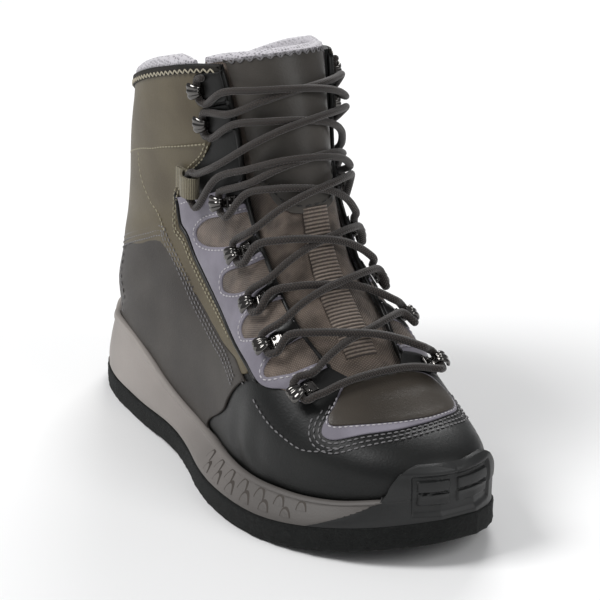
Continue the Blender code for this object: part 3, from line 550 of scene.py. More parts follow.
def foam_look():
    """Injected foam rubber: matt, faintly pitted skin from a sparked mould, with painted light at the
    heel fading to painted shade at the toe.
    """
    look, shader = new_look("injected foam rubber", 0.6)
    place, tint = mottled(look, shader, "#7b7672", "#88827e", 0.06)
    # Base colour scaled from 1.40 at the heel down to 0.44 at the toe: painted light over the heel and
    # painted shade over the toe, not a change in the foam
    along = add(look, "SeparateXYZ", {"Vector": place})
    painted_light_to_shade = add(look, "MapRange", {"Value": along.outputs["X"], "From Min": 0.02,
                                        "From Max": 0.19, "To Min": 1.40, "To Max": 0.44})
    shade = add(look, "VectorMath", {0: tint.outputs["Color"]}, operation="SCALE")
    look.node_tree.links.new(painted_light_to_shade.outputs["Result"], shade.inputs["Scale"])
    look.node_tree.links.new(shade.outputs["Vector"], shader.inputs["Base Color"])
    # Pits 0.9 mm apart, a little coarser than real ones so that they show
    pits = add(look, "TexNoise", {"Vector": place, "Scale": 1100.0, "Detail": 3.0})
    bump = add(look, "Bump", {"Height": pits.outputs["Fac"], "Strength": 0.35,
                              "Distance": 0.0004})
    look.node_tree.links.new(bump.outputs["Normal"], shader.inputs["Normal"])
    return look


def eased(share):
    """A share from 0 to 1 with a soft start and end."""
    return share * share * (3 - 2 * share)


FOAM = foam_look()
# Darker foam for the drop at each scale's arched edge: painted shade under the raised edge, not dirt
FOAM_PAINTED_GROOVE_SHADE = new_look("foam rubber with painted groove shade", 0.75)[0]
FOAM_PAINTED_GROOVE_SHADE.node_tree.nodes["Principled BSDF"].inputs["Base Color"].default_value = linear("#3f3934")


def build_midsole():
    outer_rows = 26
    lip = 0.0008
    lip_level = 0.93
    stations = even_along_rim(0.0, 120)
    rings = []
    t = np.concatenate([stations[::-1], stations])
    side = np.concatenate([np.full(len(stations), -1), np.full(len(stations), 1)])
    foot_t = HEEL_ROW * t / RIM_END
    for k in range(outer_rows + 1):
        level = np.full(len(t), k / outer_rows)
        covered = eased(np.clip((table(BUMPER_END, level) - 0.05 - t) / 0.25, 0, 1))
        bead = lip * np.exp(-((level - lip_level) / 0.055) ** 2)
        ring, normal, rim, v = wall(t, side, level, np.full(len(t), RIM_THICKNESS))
        ring[:, :2] += normal * (bead - 0.0022 * covered)[:, None]
        rings.append(ring)
    for share in (0.35, 0.7, 1.0):
        plan = ring[:, :2] + (rim[:, :2] + normal * CUP_GAP - ring[:, :2]) * share
        height = rim[:, 2] + 0.0004 * math.sin(math.pi * share)
        rings.append(np.column_stack([plan, height]))
    for k in np.linspace(0.1, 0.9, 9):
        rings.append(skin(t + (foot_t - t) * k, v + (1 - v) * k, side, CUP_GAP * (1 + k)))
    floor_line = surface(foot_t, 1.0, side)
    floor_line[:, 2] -= GAP
    rings.append(floor_line)
    rings.append(floor_line * [0.98, 0.98, 1.0])
    piece = ring_piece("midsole_cup", rings, 35)
    finish_piece(piece, FOAM, "foam", "midsole")


build_midsole()


def new_piece(name, points, faces):
    """A piece from its corners and faces."""
    mesh = bpy.data.meshes.new(name)
    mesh.from_pydata([tuple(p) for p in points], [], faces)
    piece = bpy.data.objects.new(name, mesh)
    bpy.context.collection.objects.link(piece)
    return piece


SCALE_FANS = 12


def scale_shape(span):
    """Corners of a scale, ring by ring: along the wall, up it and out from it."""
    high = 0.0007
    corners = []
    for ring in (0.0, 0.5, 0.80, 1.0):
        for f in range(SCALE_FANS + 1):
            a = math.pi * (0.02 + 0.96 * f / SCALE_FANS)
            u = math.cos(a) * span * 0.5 * max(ring, 0.02)
            n = math.sin(a) * span * 0.74 * max(ring, 0.02) - 0.25 * span
            lean = 0.30 * n
            rise = high * (ring if ring < 1 else 0.0) * math.sin(a) ** 0.6
            corners.append((u + lean, n, rise))
    return np.array(corners)


def build_scales():
    """Raised scales: each rises from the wall towards its arched edge."""
    fans = SCALE_FANS
    size = 0.0070
    pitch = 0.0128
    points = []
    faces = []
    for side in (-1, 1):
        stations = even_along_rim(2.9, 400)
        p = surface(stations, rim_turn(stations, np.full(400, side)), np.full(400, side))
        run = run_along(p)
        # Two rows on each side: height on the wall, run to the first scale, count
        for level, first, count in ((0.66, 0.038, 7), (0.34, 0.045, 6)):
            for number in range(count):
                middle = first + number * pitch
                span = size * (0.80 + 0.20 * math.sin(math.pi * (number + 0.5) / count))
                local = scale_shape(span)
                t = np.interp(middle + local[:, 0], run, stations)
                flat = np.full(len(t), side)
                foot, normal, rim = wall(t, flat, np.zeros(len(t)), np.zeros(len(t)))[:3]
                tall = np.maximum(rim[:, 2] - foot[:, 2], 1e-4)
                here = wall(t, flat, np.clip(level + local[:, 1] / tall, 0.03, 0.9),
                            np.full(len(t), RIM_THICKNESS))[0]
                here[:, :2] += normal * (local[:, 2] + 0.0001)[:, None]
                start = len(points)
                points += [tuple(q) for q in here]
                for ring in range(3):
                    for f in range(fans):
                        a = start + ring * (fans + 1) + f
                        quad = (a, a + 1, a + fans + 2, a + fans + 1)
                        faces.append(quad if side > 0 else quad[::-1])
    piece = new_piece("midsole_scales", points, faces)
    pick(piece)
    bpy.ops.object.shade_smooth_by_angle(angle=math.radians(35))
    finish_piece(piece, FOAM, "foam")
    piece.data.materials.append(FOAM_PAINTED_GROOVE_SHADE)
    # The outer ring of each scale, where it drops back to the wall, takes the darker foam as painted
    # shade
    for number, face in enumerate(piece.data.polygons):
        if number % (3 * fans) >= 2 * fans:
            face.material_index = 1


build_scales()


# Toe bumper: moulded rubber cap glued over the toe and the front of the midsole, with a
# raised frame round four blocks parted by a broad upright groove and a narrow level one.
BUMPER_FRONT = 1.45
BUMPER_CORNER = (2.10, 0.24)
TOE_MIDDLE = (0.212, 0.008)
TOE_RADIUS = 0.053
TOE_CORE = np.array([0.200, 0.008, 0.028])
BUMPER_WALL = 0.45
BLEND_FROM = 0.40
BLEND_OVER = 0.12


def rubber_look():
    """Moulded rubber: near black with a soft sheen and a fine mould grain."""
    look, shader = new_look("moulded toe rubber", 0.5)
    place = mottled(look, shader, "#0c0d0d", "#151616", 0.03)[0]
    # Grain of 0.7 mm, a little coarser than a real mould's so that it shows
    grain = add(look, "TexNoise", {"Vector": place, "Scale": 1400.0, "Detail": 2.0})
    bump = add(look, "Bump", {"Height": grain.outputs["Fac"], "Strength": 0.3,
                              "Distance": 0.0003})
    look.node_tree.links.new(bump.outputs["Normal"], shader.inputs["Normal"])
    return look


def bumper_face(share, up):
    """Outer face: share runs round the toe (-1 outer side, 1 inner), up to BUMPER_WALL it
    is the wall, and the rest of up the part that lies over the upper."""
    side = np.where(share >= 0, 1, -1)
    s = np.abs(share)
    level = np.clip(up / BUMPER_WALL, 0, 1)
    rise = np.clip((up - BUMPER_WALL) / (1 - BUMPER_WALL), 0, 1)
    t = s * table(BUMPER_END, level)
    low = wall(t, side, level, np.full(len(t), BUMPER_THICKNESS))[0]
    start = s * BUMPER_END[-1, 1]
    rim_v = rim_turn(start, side)
    along = (1 - s) * np.maximum(0, 2 * rise - 1) + s * rise
    over = (1 - s) * np.minimum(1, 2 * rise) + s * rise
    end = BUMPER_FRONT + (BUMPER_CORNER[0] - BUMPER_FRONT) * s ** 2
    high_t = start + (end - start) * along
    turn = rim_v + (BUMPER_CORNER[1] * s - rim_v) * over
    thick = BUMPER_THICKNESS * (1 - 0.3 * np.clip((rise - 0.8) / 0.2, 0, 1))
    high = skin(high_t, turn, side, CUP_GAP + thick)
    up = up[:, None]
    blend = eased(np.clip((up - BLEND_FROM) / BLEND_OVER, 0, 1))
    both = low * (1 - blend) + high * blend
    return np.where(up < BLEND_FROM, low, np.where(up > BLEND_FROM + BLEND_OVER, high, both))


def step(value, edge, soft):
    """0 before an edge and 1 past it, eased over a soft width."""
    return eased(np.clip((value - edge) / soft + 0.5, 0, 1))


def build_bumper():
    rows = 96
    columns = 220
    piece, up, share = start_grid("toe_bumper_rubber", rows, columns)
    share = share * 2 - 1
    points = bumper_face(share, up)
    # The surface is evened out about the middle of the toe, where the rows draw together
    net = points.reshape(rows + 1, columns + 1, 3)
    near = np.exp(-(share.reshape(rows + 1, columns + 1) / 0.07) ** 2)[1:-1, 1:-1, None]
    for _ in range(30):
        mean = (net[2:, 1:-1] + net[:-2, 1:-1] + net[1:-1, 2:] + net[1:-1, :-2]) / 4
        net[1:-1, 1:-1] += near * (mean - net[1:-1, 1:-1])
    points = net.reshape(-1, 3)
    normal = unit(points - TOE_CORE)
    # Where a point lies round the toe, as a run along it, and how far below the top edge
    top = bumper_face(np.linspace(-1, 1, 201), np.ones(201))
    round_top = np.arctan2(top[:, 1] - TOE_MIDDLE[1], top[:, 0] - TOE_MIDDLE[0])
    middle_top = float(np.interp(0.0, round_top, top[:, 2]))
    round_it = np.arctan2(points[:, 1] - TOE_MIDDLE[1], points[:, 0] - TOE_MIDDLE[0])
    below = np.minimum(np.interp(round_it, round_top, top[:, 2]), middle_top) - points[:, 2]
    run = round_it * TOE_RADIUS
    # Sunk field inside the raised frame, the four blocks in it and the bead along the top
    frame_in = step(below, 0.0045, 0.0014) * (1 - step(below, 0.0235, 0.0030))
    frame_in *= step(run, -0.0215, 0.0014) * (1 - step(run, 0.0255, 0.0014))
    blocks = np.zeros(len(run))
    for left, right in ((-0.0185, -0.0022), (0.0022, 0.0225)):
        for high, low in ((0.0068, 0.0122), (0.0134, 0.0188)):
            one = step(run, left, 0.0010) * (1 - step(run, right, 0.0010))
            blocks = np.maximum(blocks, one * step(below, high, 0.0009) * (1 - step(below, low, 0.0009)))
    rim = np.exp(-((below - 0.0030) / 0.0016) ** 2) * 0.0005
    points = points + normal * (rim - 0.0014 * frame_in + 0.0013 * blocks)[:, None]
    shape(piece, points)
    close_up(piece)
    thick = piece.modifiers.new("wall", "SOLIDIFY")
    thick.thickness = 0.0028
    thick.offset = -1.0
    bpy.ops.object.modifier_apply(modifier=thick.name)
    bpy.ops.object.shade_smooth_by_angle(angle=math.radians(40))
    finish_piece(piece, rubber_look(), "rubber", "toe_bumper")


build_bumper()


# Upper: coated leather vamp and shaft, lasted and cemented into the midsole, and lined
# with a brushed grey spacer cloth. It is open down the throat and at the collar.
UPPER_WALL = 0.002
# Share of the rows that lie in front of the throat
CLOSED_ROWS = 0.22
# Run along each section and up the shoe, so that a place on the last can be laid flat
FLAT_STEPS = 8
FLAT_T = np.linspace(0, len(SECTIONS) - 1, FLAT_STEPS * (len(SECTIONS) - 1) + 1)
FLAT_V = np.linspace(0, 1, 161)
ROUND = surface(FLAT_T[:, None], FLAT_V[None, :], -1)
ROUND = np.linalg.norm(np.diff(ROUND, axis=1), axis=2).cumsum(1)
ROUND = np.hstack([np.zeros((len(FLAT_T), 1)), ROUND])
CLIMB = np.linalg.norm(np.diff(surface(FLAT_T, 0.45, -1), axis=0), axis=1).cumsum()
CLIMB = np.concatenate([[0], CLIMB])


def laid_flat(t, w, from_back=False):
    """A place on the upper as it lies on the cutting table, in metres."""
    v, side = split(w)
    row = np.clip(np.interp(t, FLAT_T, np.arange(len(FLAT_T))), 0, len(FLAT_T) - 1.001)
    column = np.clip(v, 0, 1) * (len(FLAT_V) - 1.001)
    i = row.astype(int)
    j = column.astype(int)
    f = row - i
    g = column - j
    x = ((1 - f) * (1 - g) * ROUND[i, j] + f * (1 - g) * ROUND[i + 1, j]
         + (1 - f) * g * ROUND[i, j + 1] + f * g * ROUND[i + 1, j + 1])
    if from_back:
        x = x - ((1 - f) * ROUND[i, -1] + f * ROUND[i + 1, -1])
    return np.stack([x * np.where(side < 0, 1, -1), np.interp(t, FLAT_T, CLIMB)], -1)


def throat(t):
    """Half width of the throat at a section, as a share of the way round."""
    t = np.asarray(t, float)
    return np.where(t <= THROAT_ROW, 0.0, table(THROAT, t))


def mark(piece, name, values):
    """Stores a vector for each corner, for the material to read."""
    made = piece.data.attributes.new(name, "FLOAT_VECTOR", "POINT")
    made.data.foreach_set("vector", np.asarray(values, np.float32).reshape(-1))


def leather_look(name, dark, light, grain, rough, coat=0.0):
    """Coated leather: a fine pebbled grain pressed into the finish, glossier on its
    crests, with soft clouding in the colour."""
    look, shader = new_look(name, rough, Coat_Weight=coat, Coat_Roughness=0.35,
                            Specular_IOR_Level=0.25)
    place = mottled(look, shader, dark, light, 0.035)[0]
    # Pebbles are as far apart as the grain; the nap's finer wrinkles are near half that
    pebble = add(look, "TexVoronoi", {"Vector": place, "Scale": 1 / grain,
                                      "Randomness": 1.0}, feature="SMOOTH_F1")
    nap = add(look, "TexNoise", {"Vector": place, "Scale": 2.2 / grain, "Detail": 4.0})
    both = add(look, "Math", {0: pebble.outputs["Distance"], 1: nap.outputs["Fac"]},
               operation="MULTIPLY_ADD")
    both.inputs[2].default_value = 0.1
    bump = add(look, "Bump", {"Height": both.outputs["Value"], "Strength": 0.35,
                              "Distance": 0.0004})
    gloss = add(look, "MapRange", {"Value": nap.outputs["Fac"], "From Min": 0.3,
                                   "From Max": 0.7, "To Min": rough - 0.08,
                                   "To Max": rough + 0.08})
    look.node_tree.links.new(gloss.outputs["Result"], shader.inputs["Roughness"])
    look.node_tree.links.new(bump.outputs["Normal"], shader.inputs["Normal"])
    return look


def lining_look():
    """Spacer cloth: pale grey knit with rows of small open cells, a little fuzzy."""
    look, shader = new_look("grey spacer knit", 0.9, Sheen_Weight=0.4, Sheen_Roughness=0.5)
    place = add(look, "TexCoord").outputs["Object"]
    # Cells of 1.6 mm
    cells = add(look, "TexVoronoi", {"Vector": place, "Scale": 620.0, "Randomness": 0.35})
    tint = add(look, "ValToRGB", {"Fac": cells.outputs["Distance"]})
    tint.color_ramp.elements[0].color = linear("#6d6a70")
    tint.color_ramp.elements[0].position = 0.15
    tint.color_ramp.elements[1].color = linear("#c4c1c6")
    tint.color_ramp.elements[1].position = 0.5
    look.node_tree.links.new(tint.outputs["Color"], shader.inputs["Base Color"])
    bump = add(look, "Bump", {"Height": cells.outputs["Distance"], "Strength": 0.5,
                              "Distance": 0.0008})
    look.node_tree.links.new(bump.outputs["Normal"], shader.inputs["Normal"])
    return look


VAMP_LEATHER = leather_look("coated vamp leather", "#0e0f0f", "#181918", 0.0011, 0.46, 0.12)
LINING = lining_look()


def build_upper():
    rows = 150
    across = 64
    halves = []
    for side in (1, -1):
        piece, up, round_it = start_grid("upper_leather", rows, across)
        top = table(COLLAR, round_it)
        above = np.clip((up - CLOSED_ROWS) / (1 - CLOSED_ROWS), 0, 1) ** 1.15
        t = np.where(up < CLOSED_ROWS, THROAT_ROW * up / CLOSED_ROWS,
                     THROAT_ROW + (top - THROAT_ROW) * above)
        v0 = throat(t)
        v = v0 + (1 - v0) * round_it
        shape(piece, on_upper(t, v * side))
        halves.append(piece)
    pick(*halves)
    bpy.ops.object.join()
    piece = halves[0]
    bpy.ops.object.mode_set(mode="EDIT")
    bpy.ops.mesh.select_all(action="SELECT")
    bpy.ops.mesh.remove_doubles(threshold=2e-5)
    bpy.ops.mesh.normals_make_consistent(inside=False)
    bpy.ops.object.mode_set(mode="OBJECT")
    piece.data.materials.append(VAMP_LEATHER)
    piece.data.materials.append(LINING)
    middle = piece.data.polygons[len(piece.data.polygons) // 2]
    if middle.normal.y * middle.center.y < 0:
        bpy.ops.object.mode_set(mode="EDIT")
        bpy.ops.mesh.select_all(action="SELECT")
        bpy.ops.mesh.flip_normals()
        bpy.ops.object.mode_set(mode="OBJECT")
    wall_of = piece.modifiers.new("wall", "SOLIDIFY")
    wall_of.thickness = UPPER_WALL
    wall_of.offset = -1.0
    wall_of.material_offset = 1
    bpy.ops.object.modifier_apply(modifier=wall_of.name)
    bpy.ops.object.shade_smooth_by_angle(angle=math.radians(45))
    finish_piece(piece, None, "leather", "upper")


build_upper()


def rounded(points, spacing=0.0014, face=on_upper, closed=True):
    """Places (section, turn) along a smooth line. A place given twice is a corner."""
    points = [tuple(p) for p in points]
    if closed:
        count = len(points)
        rows = [points[(k - 2) % count] for k in range(count + 5)]
        line = np.array(rows, float)
        at = np.arange(2, count + 2 + 1e-9, 1 / 24)
    else:
        line = np.array(points, float)
        at = np.linspace(0, len(points) - 1, 24 * (len(points) - 1) + 1)
    fine = through(line, at)
    run = run_along(face(fine[:, 0], fine[:, 1], 0.0))
    count = max(4, int(round(run[-1] / spacing)))
    where = np.linspace(0, run[-1], count + 1)
    if closed:
        where = where[:-1]
    return np.stack([np.interp(where, run, fine[:, 0]), np.interp(where, run, fine[:, 1])], -1)


def moved_over(line, by, face=on_upper, closed=True):
    """A line moved sideways over the surface, to its left as seen from outside."""
    line = np.array(line, float)
    moves = max(1, int(math.ceil(abs(by) / 0.0015)))
    for _ in range(moves):
        t, w = line[:, 0], line[:, 1]
        p = face(t, w, 0.0)
        if closed:
            along = np.roll(p, -1, 0) - np.roll(p, 1, 0)
        else:
            along = np.gradient(p, axis=0)
        dt = (face(t + 0.03, w, 0.0) - face(t - 0.03, w, 0.0)) / 0.06
        dw = (face(t, w + 0.006, 0.0) - face(t, w - 0.006, 0.0)) / 0.012
        outward = unit(np.cross(dt, dw))
        outward *= np.sign(np.sum(outward * frame_at(t, *split(w))[0], 1))[:, None]
        left = unit(np.cross(outward, unit(along))) * (by / moves)
        a = np.sum(dt * dt, 1)
        b = np.sum(dt * dw, 1)
        c = np.sum(dw * dw, 1)
        e = np.sum(dt * left, 1)
        f = np.sum(dw * left, 1)
        det = a * c - b * b
        line = line + np.stack([(e * c - f * b) / det, (a * f - b * e) / det], -1)
    return line


def within(points, loop):
    """Which of some flat points lie inside a closed line."""
    x, y = points[:, 0][:, None], points[:, 1][:, None]
    x0, y0 = loop[:, 0], loop[:, 1]
    x1, y1 = np.roll(x0, -1), np.roll(y0, -1)
    crosses = (y0 > y) != (y1 > y)
    with np.errstate(divide="ignore", invalid="ignore"):
        at = x0 + (y - y0) * (x1 - x0) / (y1 - y0)
    return (np.sum(crosses & (x < at), 1) % 2) == 1


def near_loop(points, loop):
    """Distance of points to the nearest corner of a closed line."""
    best = np.full(len(points), 1e9)
    for k in range(0, len(loop), 40):
        part = loop[k:k + 40]
        best = np.minimum(best, np.linalg.norm(points[:, None] - part[None], axis=2).min(1))
    return best


def handed(loop):
    """A closed line turned to run with its inside on the left, seen from outside."""
    trial = moved_over(loop, 0.0004)
    flat = laid_flat(loop[:, 0], loop[:, 1], True)
    inside = within(laid_flat(trial[:, 0], trial[:, 1], True), flat)
    return loop if inside.mean() > 0.5 else loop[::-1]


def net_over(outline, spacing, from_back):
    """Places in the rows of a triangular net, over the sections that an outline spans."""
    low, high = np.interp([outline[:, 0].min(), outline[:, 0].max()], FLAT_T, CLIMB)
    fill = []
    for number, y in enumerate(np.arange(low + spacing * 0.5, high, spacing * 0.866)):
        t = float(np.interp(y, CLIMB, FLAT_T))
        i = int(np.clip(np.interp(t, FLAT_T, np.arange(len(FLAT_T))), 0, len(FLAT_T) - 1))
        x = np.arange(spacing * (0.5 * (number % 2)), ROUND[i, -1], spacing)
        v = np.interp(x, ROUND[i], FLAT_V)
        fill += [(t, k) for k in v] + [(t, -k) for k in v if k > 0]
        if from_back:
            fill += [(t, 2 - k) for k in v]
    fill = np.array(fill)
    turns = outline[:, 1]
    return fill[(fill[:, 1] > turns.min()) & (fill[:, 1] < turns.max())]


CORNER = 0.0005


def panel(name, look, outline, low, thick, face=on_upper, from_back=False, spacing=0.0028,
          puff=0.0, puff_reach=0.010):
    """A cut panel with rounded edges laid on the upper. Its outline is a closed run of
    places, and puff is how far its middle swells."""

    def flat_of(line):
        return laid_flat(line[:, 0], line[:, 1], from_back)

    # The face ends at a rim, a corner's width inside the outline
    rim = moved_over(outline, CORNER, face)
    if within(flat_of(rim), flat_of(outline)).mean() <= 0.5:
        rim = moved_over(outline, -CORNER, face)
    flat_rim = flat_of(rim)
    size = len(rim)
    fill = net_over(outline, spacing, from_back)
    flat_fill = flat_of(fill)
    clear = near_loop(flat_fill, flat_rim) > spacing * 0.55
    places = np.concatenate([rim, fill[within(flat_fill, flat_rim) & clear]])
    flat = flat_of(places)
    edges = [(k, (k + 1) % size) for k in range(size)]
    out = delaunay_2d_cdt([Vector(p) for p in flat], edges, [], 1, 1e-7)
    origin = [group[0] if group else -1 for group in out[3]]
    triangles = [[origin[k] for k in tri] for tri in out[2]]
    triangles = np.array([ids for ids in triangles if min(ids) >= 0 and len(ids) == 3])
    triangles = triangles[within(flat[triangles].mean(1), flat_rim)]
    # Top, underside, and three rings that round the edge between them
    t, w = places[:, 0], places[:, 1]
    middle = face(t, w, low + thick)
    edge = near_loop(middle, middle[:size])
    swell = puff * (1 - np.exp(-(edge / puff_reach) ** 2))
    half = (outline + rim) / 2
    corners = [face(t, w, low + thick + swell), face(t, w, low),
               face(half[:, 0], half[:, 1], low + thick * 0.93),
               face(outline[:, 0], outline[:, 1], low + thick * 0.62),
               face(outline[:, 0], outline[:, 1], low)]
    count = len(places)
    faces = [tuple(f) for f in triangles]
    faces += [tuple(count + k for k in f[::-1]) for f in triangles]
    starts = [0, 2 * count, 2 * count + size, 2 * count + 2 * size, count]
    for a, b in zip(starts, starts[1:]):
        faces += [(a + k, a + m, b + m, b + k) for k, m in edges]
    piece = new_piece(name, np.concatenate(corners), faces)
    cut = np.concatenate([flat, flat] + [flat[:size]] * 3)
    mark(piece, "cut", np.column_stack([cut, np.zeros(len(cut))]))
    close_up(piece, merge=1e-7, angle=55)
    piece.data.materials.append(look)
    return piece


def mirrored(line):
    """The same line on the inner side."""
    return np.array([(t, -w) for t, w in line])


def thread_look(name, code):
    """Bonded polyester thread: twisted, slightly glossy."""
    look, shader = new_look(name, 0.55, Sheen_Weight=0.2)
    shader.inputs["Base Color"].default_value = linear(code)
    place = add(look, "TexCoord").outputs["Object"]
    # Twist of 0.4 mm
    twist = add(look, "TexNoise", {"Vector": place, "Scale": 2500.0, "Detail": 2.0})
    bump = add(look, "Bump", {"Height": twist.outputs["Fac"], "Strength": 0.4,
                              "Distance": 0.0002})
    look.node_tree.links.new(bump.outputs["Normal"], shader.inputs["Normal"])
    return look


def sew(name, look, lines, lift, pitch=0.0032, length=0.0024, wide=0.00085,
        zigzag=False, face=on_upper, slot="cloth"):
    """Stitches along lines of places, each a short round bead of thread sunk at both
    ends. A zigzag turns them across the line, one way and then the other."""
    bpy.ops.object.select_all(action="DESELECT")
    bpy.ops.mesh.primitive_uv_sphere_add(segments=6, ring_count=5, radius=0.5)
    bead = bpy.context.object
    shape_of = np.array([v.co for v in bead.data.vertices])
    bead_faces = [tuple(f.vertices) for f in bead.data.polygons]
    bpy.data.objects.remove(bead)
    shape_of = shape_of[:, [2, 0, 1]] * [length, wide, wide * 0.8]
    corners = []
    faces = []
    for line in lines:
        run = run_along(face(line[:, 0], line[:, 1], 0.0))
        count = int(run[-1] / pitch)
        if count < 1:
            continue
        where = (np.arange(count) + 0.5) * run[-1] / count
        t = np.interp(where, run, line[:, 0])
        w = np.interp(where, run, line[:, 1])
        step_on = 0.0008
        t2 = np.interp(where + step_on, run, line[:, 0])
        w2 = np.interp(where + step_on, run, line[:, 1])
        here = face(t, w, lift)
        along = unit(face(t2, w2, lift) - here)
        v, side = split(w)
        out = frame_at(t, v, side)[0]
        across = unit(np.cross(out, along))
        for k in range(count):
            turn = math.radians(45 if k % 2 else -45) if zigzag else 0.0
            c, s = math.cos(turn), math.sin(turn)
            x = along[k] * c + across[k] * s
            y = across[k] * c - along[k] * s
            start = len(shape_of) * len(corners)
            corners.append(here[k] + shape_of[:, :1] * x + shape_of[:, 1:2] * y
                           + shape_of[:, 2:] * out[k])
            faces += [tuple(start + m for m in f) for f in bead_faces]
    piece = new_piece(name, np.concatenate(corners), faces)
    piece.data.shade_smooth()
    finish_piece(piece, look, slot)


# Toe panel: smooth dark synthetic leather over a grey lavender one that shows round it
# as a border, broad at the outer front corner. Three rows of thread hold the border.
DARK_PANEL = leather_look("smooth taupe synthetic leather", "#332e28", "#423c35", 0.0008, 0.40, 0.15)


def microfibre_look():
    """Grey lavender microfibre: dense short nap that lightens at a glancing angle."""
    look, shader = new_look("lavender microfibre", 0.62, Sheen_Weight=0.2,
                            Sheen_Roughness=0.45)
    place = mottled(look, shader, "#6b6771", "#7f7b86", 0.02)[0]
    # The real nap is too fine to show, so it is drawn at 0.7 mm
    nap = add(look, "TexNoise", {"Vector": place, "Scale": 1500.0, "Detail": 3.0})
    bump = add(look, "Bump", {"Height": nap.outputs["Fac"], "Strength": 0.3,
                              "Distance": 0.0003})
    look.node_tree.links.new(bump.outputs["Normal"], shader.inputs["Normal"])
    return look


LAVENDER = microfibre_look()
THREAD_DARK = thread_look("grey thread", "#6a686a")
THREAD_PALE = thread_look("pale grey thread", "#b3b0b4")
TOE_BORDER = [(5.62, .108), (5.62, .108), (5.20, .190), (4.98, .272), (4.80, .305), (4.50, .292),
              (4.15, .200), (3.77, .070), (3.80, -.060), (4.20, -.205), (4.60, -.262),
              (5.05, -.262), (5.55, -.200), (5.62, -.104), (5.62, -.104), (5.58, .0)]
TOE_PANEL = [(5.60, .100), (5.60, .100), (5.25, .168), (5.06, .225), (4.86, .245), (4.60, .205),
             (4.22, .115), (3.99, .020), (3.96, -.070), (4.28, -.195), (4.64, -.240),
             (5.03, -.240), (5.48, -.182), (5.60, -.096), (5.60, -.096), (5.56, .0)]


def build_toe():
    border = rounded(TOE_BORDER)
    inner = rounded(TOE_PANEL)
    piece = panel("toe_border_microfibre", LAVENDER, border, 0.0001, 0.0008)
    finish_piece(piece, None, "lavender")
    piece = panel("toe_panel_leather", DARK_PANEL, inner, 0.0007, 0.0010, puff=0.0012)
    finish_piece(piece, None, "leather")
    rows = []
    outer = handed(border)
    start = np.argmin(np.abs(outer[:, 0] - 5.55) + 10 * (outer[:, 1] < 0))
    for by in (0.0016, 0.0040, 0.0064):
        rows.append(np.roll(moved_over(outer, by), -start, 0)[2:-2])
    keep = [row[(row[:, 0] < 5.35)] for row in rows]
    sew("toe_seam_thread", THREAD_DARK, keep, 0.0003)
    edge = moved_over(handed(inner), 0.0008)
    edge = np.roll(edge, -np.argmax(edge[:, 0]), 0)
    sew("toe_panel_thread", THREAD_PALE, [edge[edge[:, 0] < 5.45]], 0.0010,
        pitch=0.0026, length=0.0019)


build_toe()


# Vamp seams: bonded thread that joins the vamp to the panels behind it. On each side a
# long row runs over the ball of the foot, and a pair of rows behind it.
def build_vamp_seams():
    long = rounded([(7.09, .401), (6.4, .412), (5.73, .416), (5.09, .416), (4.6, .376),
                    (4.25, .318)], closed=False)
    pair = [rounded([(9.74, .441), (9.0, .434), (8.3, .420), (7.69, .406)], closed=False)]
    pair.append(moved_over(pair[0], 0.0024, closed=False))
    lines = [long, mirrored(long)]
    for row in pair:
        lines += [row, mirrored(row)]
    sew("vamp_thread", THREAD_DARK, lines, 0.0004, pitch=0.0034, length=0.0025)


build_vamp_seams()


# Shaft: padded synthetic leather panels in olive, wrapped round the back from one
# eyestay to the other and lined with foam, sewn down in light olive thread.
OLIVE = leather_look("olive synthetic leather", "#51493a", "#5e5644", 0.0010, 0.5, 0.05)
THREAD_OLIVE = thread_look("olive thread", "#918a72")
SHAFT_EDGE = [(24.15, .318), (23.4, .318), (22.2, .312), (21.2, .312), (20.65, .318), (20.2, .345),
              (19.9, .392), (19.35, .428), (18.2, .424), (16.4, .402), (13.8, .394), (11.4, .392),
              (9.3, .378), (7.9, .358)]
SHAFT_FOOT = [(7.75, .372), (8.3, .412), (9.5, .44), (12.0, .46), (14.5, .47), (16.8, .50),
              (18.2, .60)]


def build_shaft():
    top = [(float(table(COLLAR, (w - 0.29) / 0.71)) - 0.30, w) for w in (.40, .52, .66, .82)]
    back = float(COLLAR[-1, 1]) - 0.30
    one = SHAFT_EDGE + [SHAFT_EDGE[-1]] + SHAFT_FOOT + [(18.5, .80), (18.5, .98)]
    other = [(t, 2 - w) for t, w in one[::-1]]
    line = [(24.15, .318)] + one + other + [(24.15, 1.682)]
    line += [(t, 2 - w) for t, w in top] + [(back, 1.0)] + top[::-1]
    outline = rounded(line, spacing=0.0018)
    piece = panel("shaft_olive_leather", OLIVE, outline, 0.0001, 0.0008, from_back=True,
                  puff=0.0016, puff_reach=0.014, spacing=0.0032)
    finish_piece(piece, None, "leather")
    seams = [[(21.36, .995), (21.36, .80), (21.36, .60), (21.2, .50), (20.99, .426), (20.67, .325)],
             [(21.30, .590), (20.7, .572), (19.8, .516), (18.9, .478), (18.2, .455)]]
    lines = []
    for seam in seams:
        path = rounded(seam, closed=False)
        lines += [path, mirrored(path)]
    sew("shaft_panel_thread", THREAD_OLIVE, lines, 0.0024, pitch=0.0030, length=0.0023)
    edge = rounded([(20.75, .330), (20.3, .352), (19.98, .402), (19.35, .440), (18.2, .434),
                    (16.4, .412), (13.8, .403), (11.4, .400), (9.6, .390)], closed=False)
    second = moved_over(edge, 0.0022, closed=False)
    sew("shaft_edge_thread", THREAD_OLIVE, [edge, mirrored(edge), second, mirrored(second)],
        0.0015, pitch=0.0030, length=0.0023)


build_shaft()


# Quarter: dark grey nubuck-finished leather round the heel, its top edge sewn down with
# three rows of thread on each side.
QUARTER_LEATHER = leather_look("grey brushed leather", "#322e2b", "#3f3b37", 0.0009, 0.52, 0.04)
QUARTER_TOP = [(7.70, .392), (8.60, .392), (9.50, .411), (10.4, .420), (11.9, .424), (13.8, .420),
               (16.5, .432), (18.1, .448), (18.75, .478), (19.1, .540), (19.35, .660), (19.45, .820)]
# Front edge from the foot up, along the seam to the vamp
QUARTER_FRONT = [(9.36, .800), (9.22, .680), (8.75, .560), (8.15, .455)]
QUARTER_START = 9.3


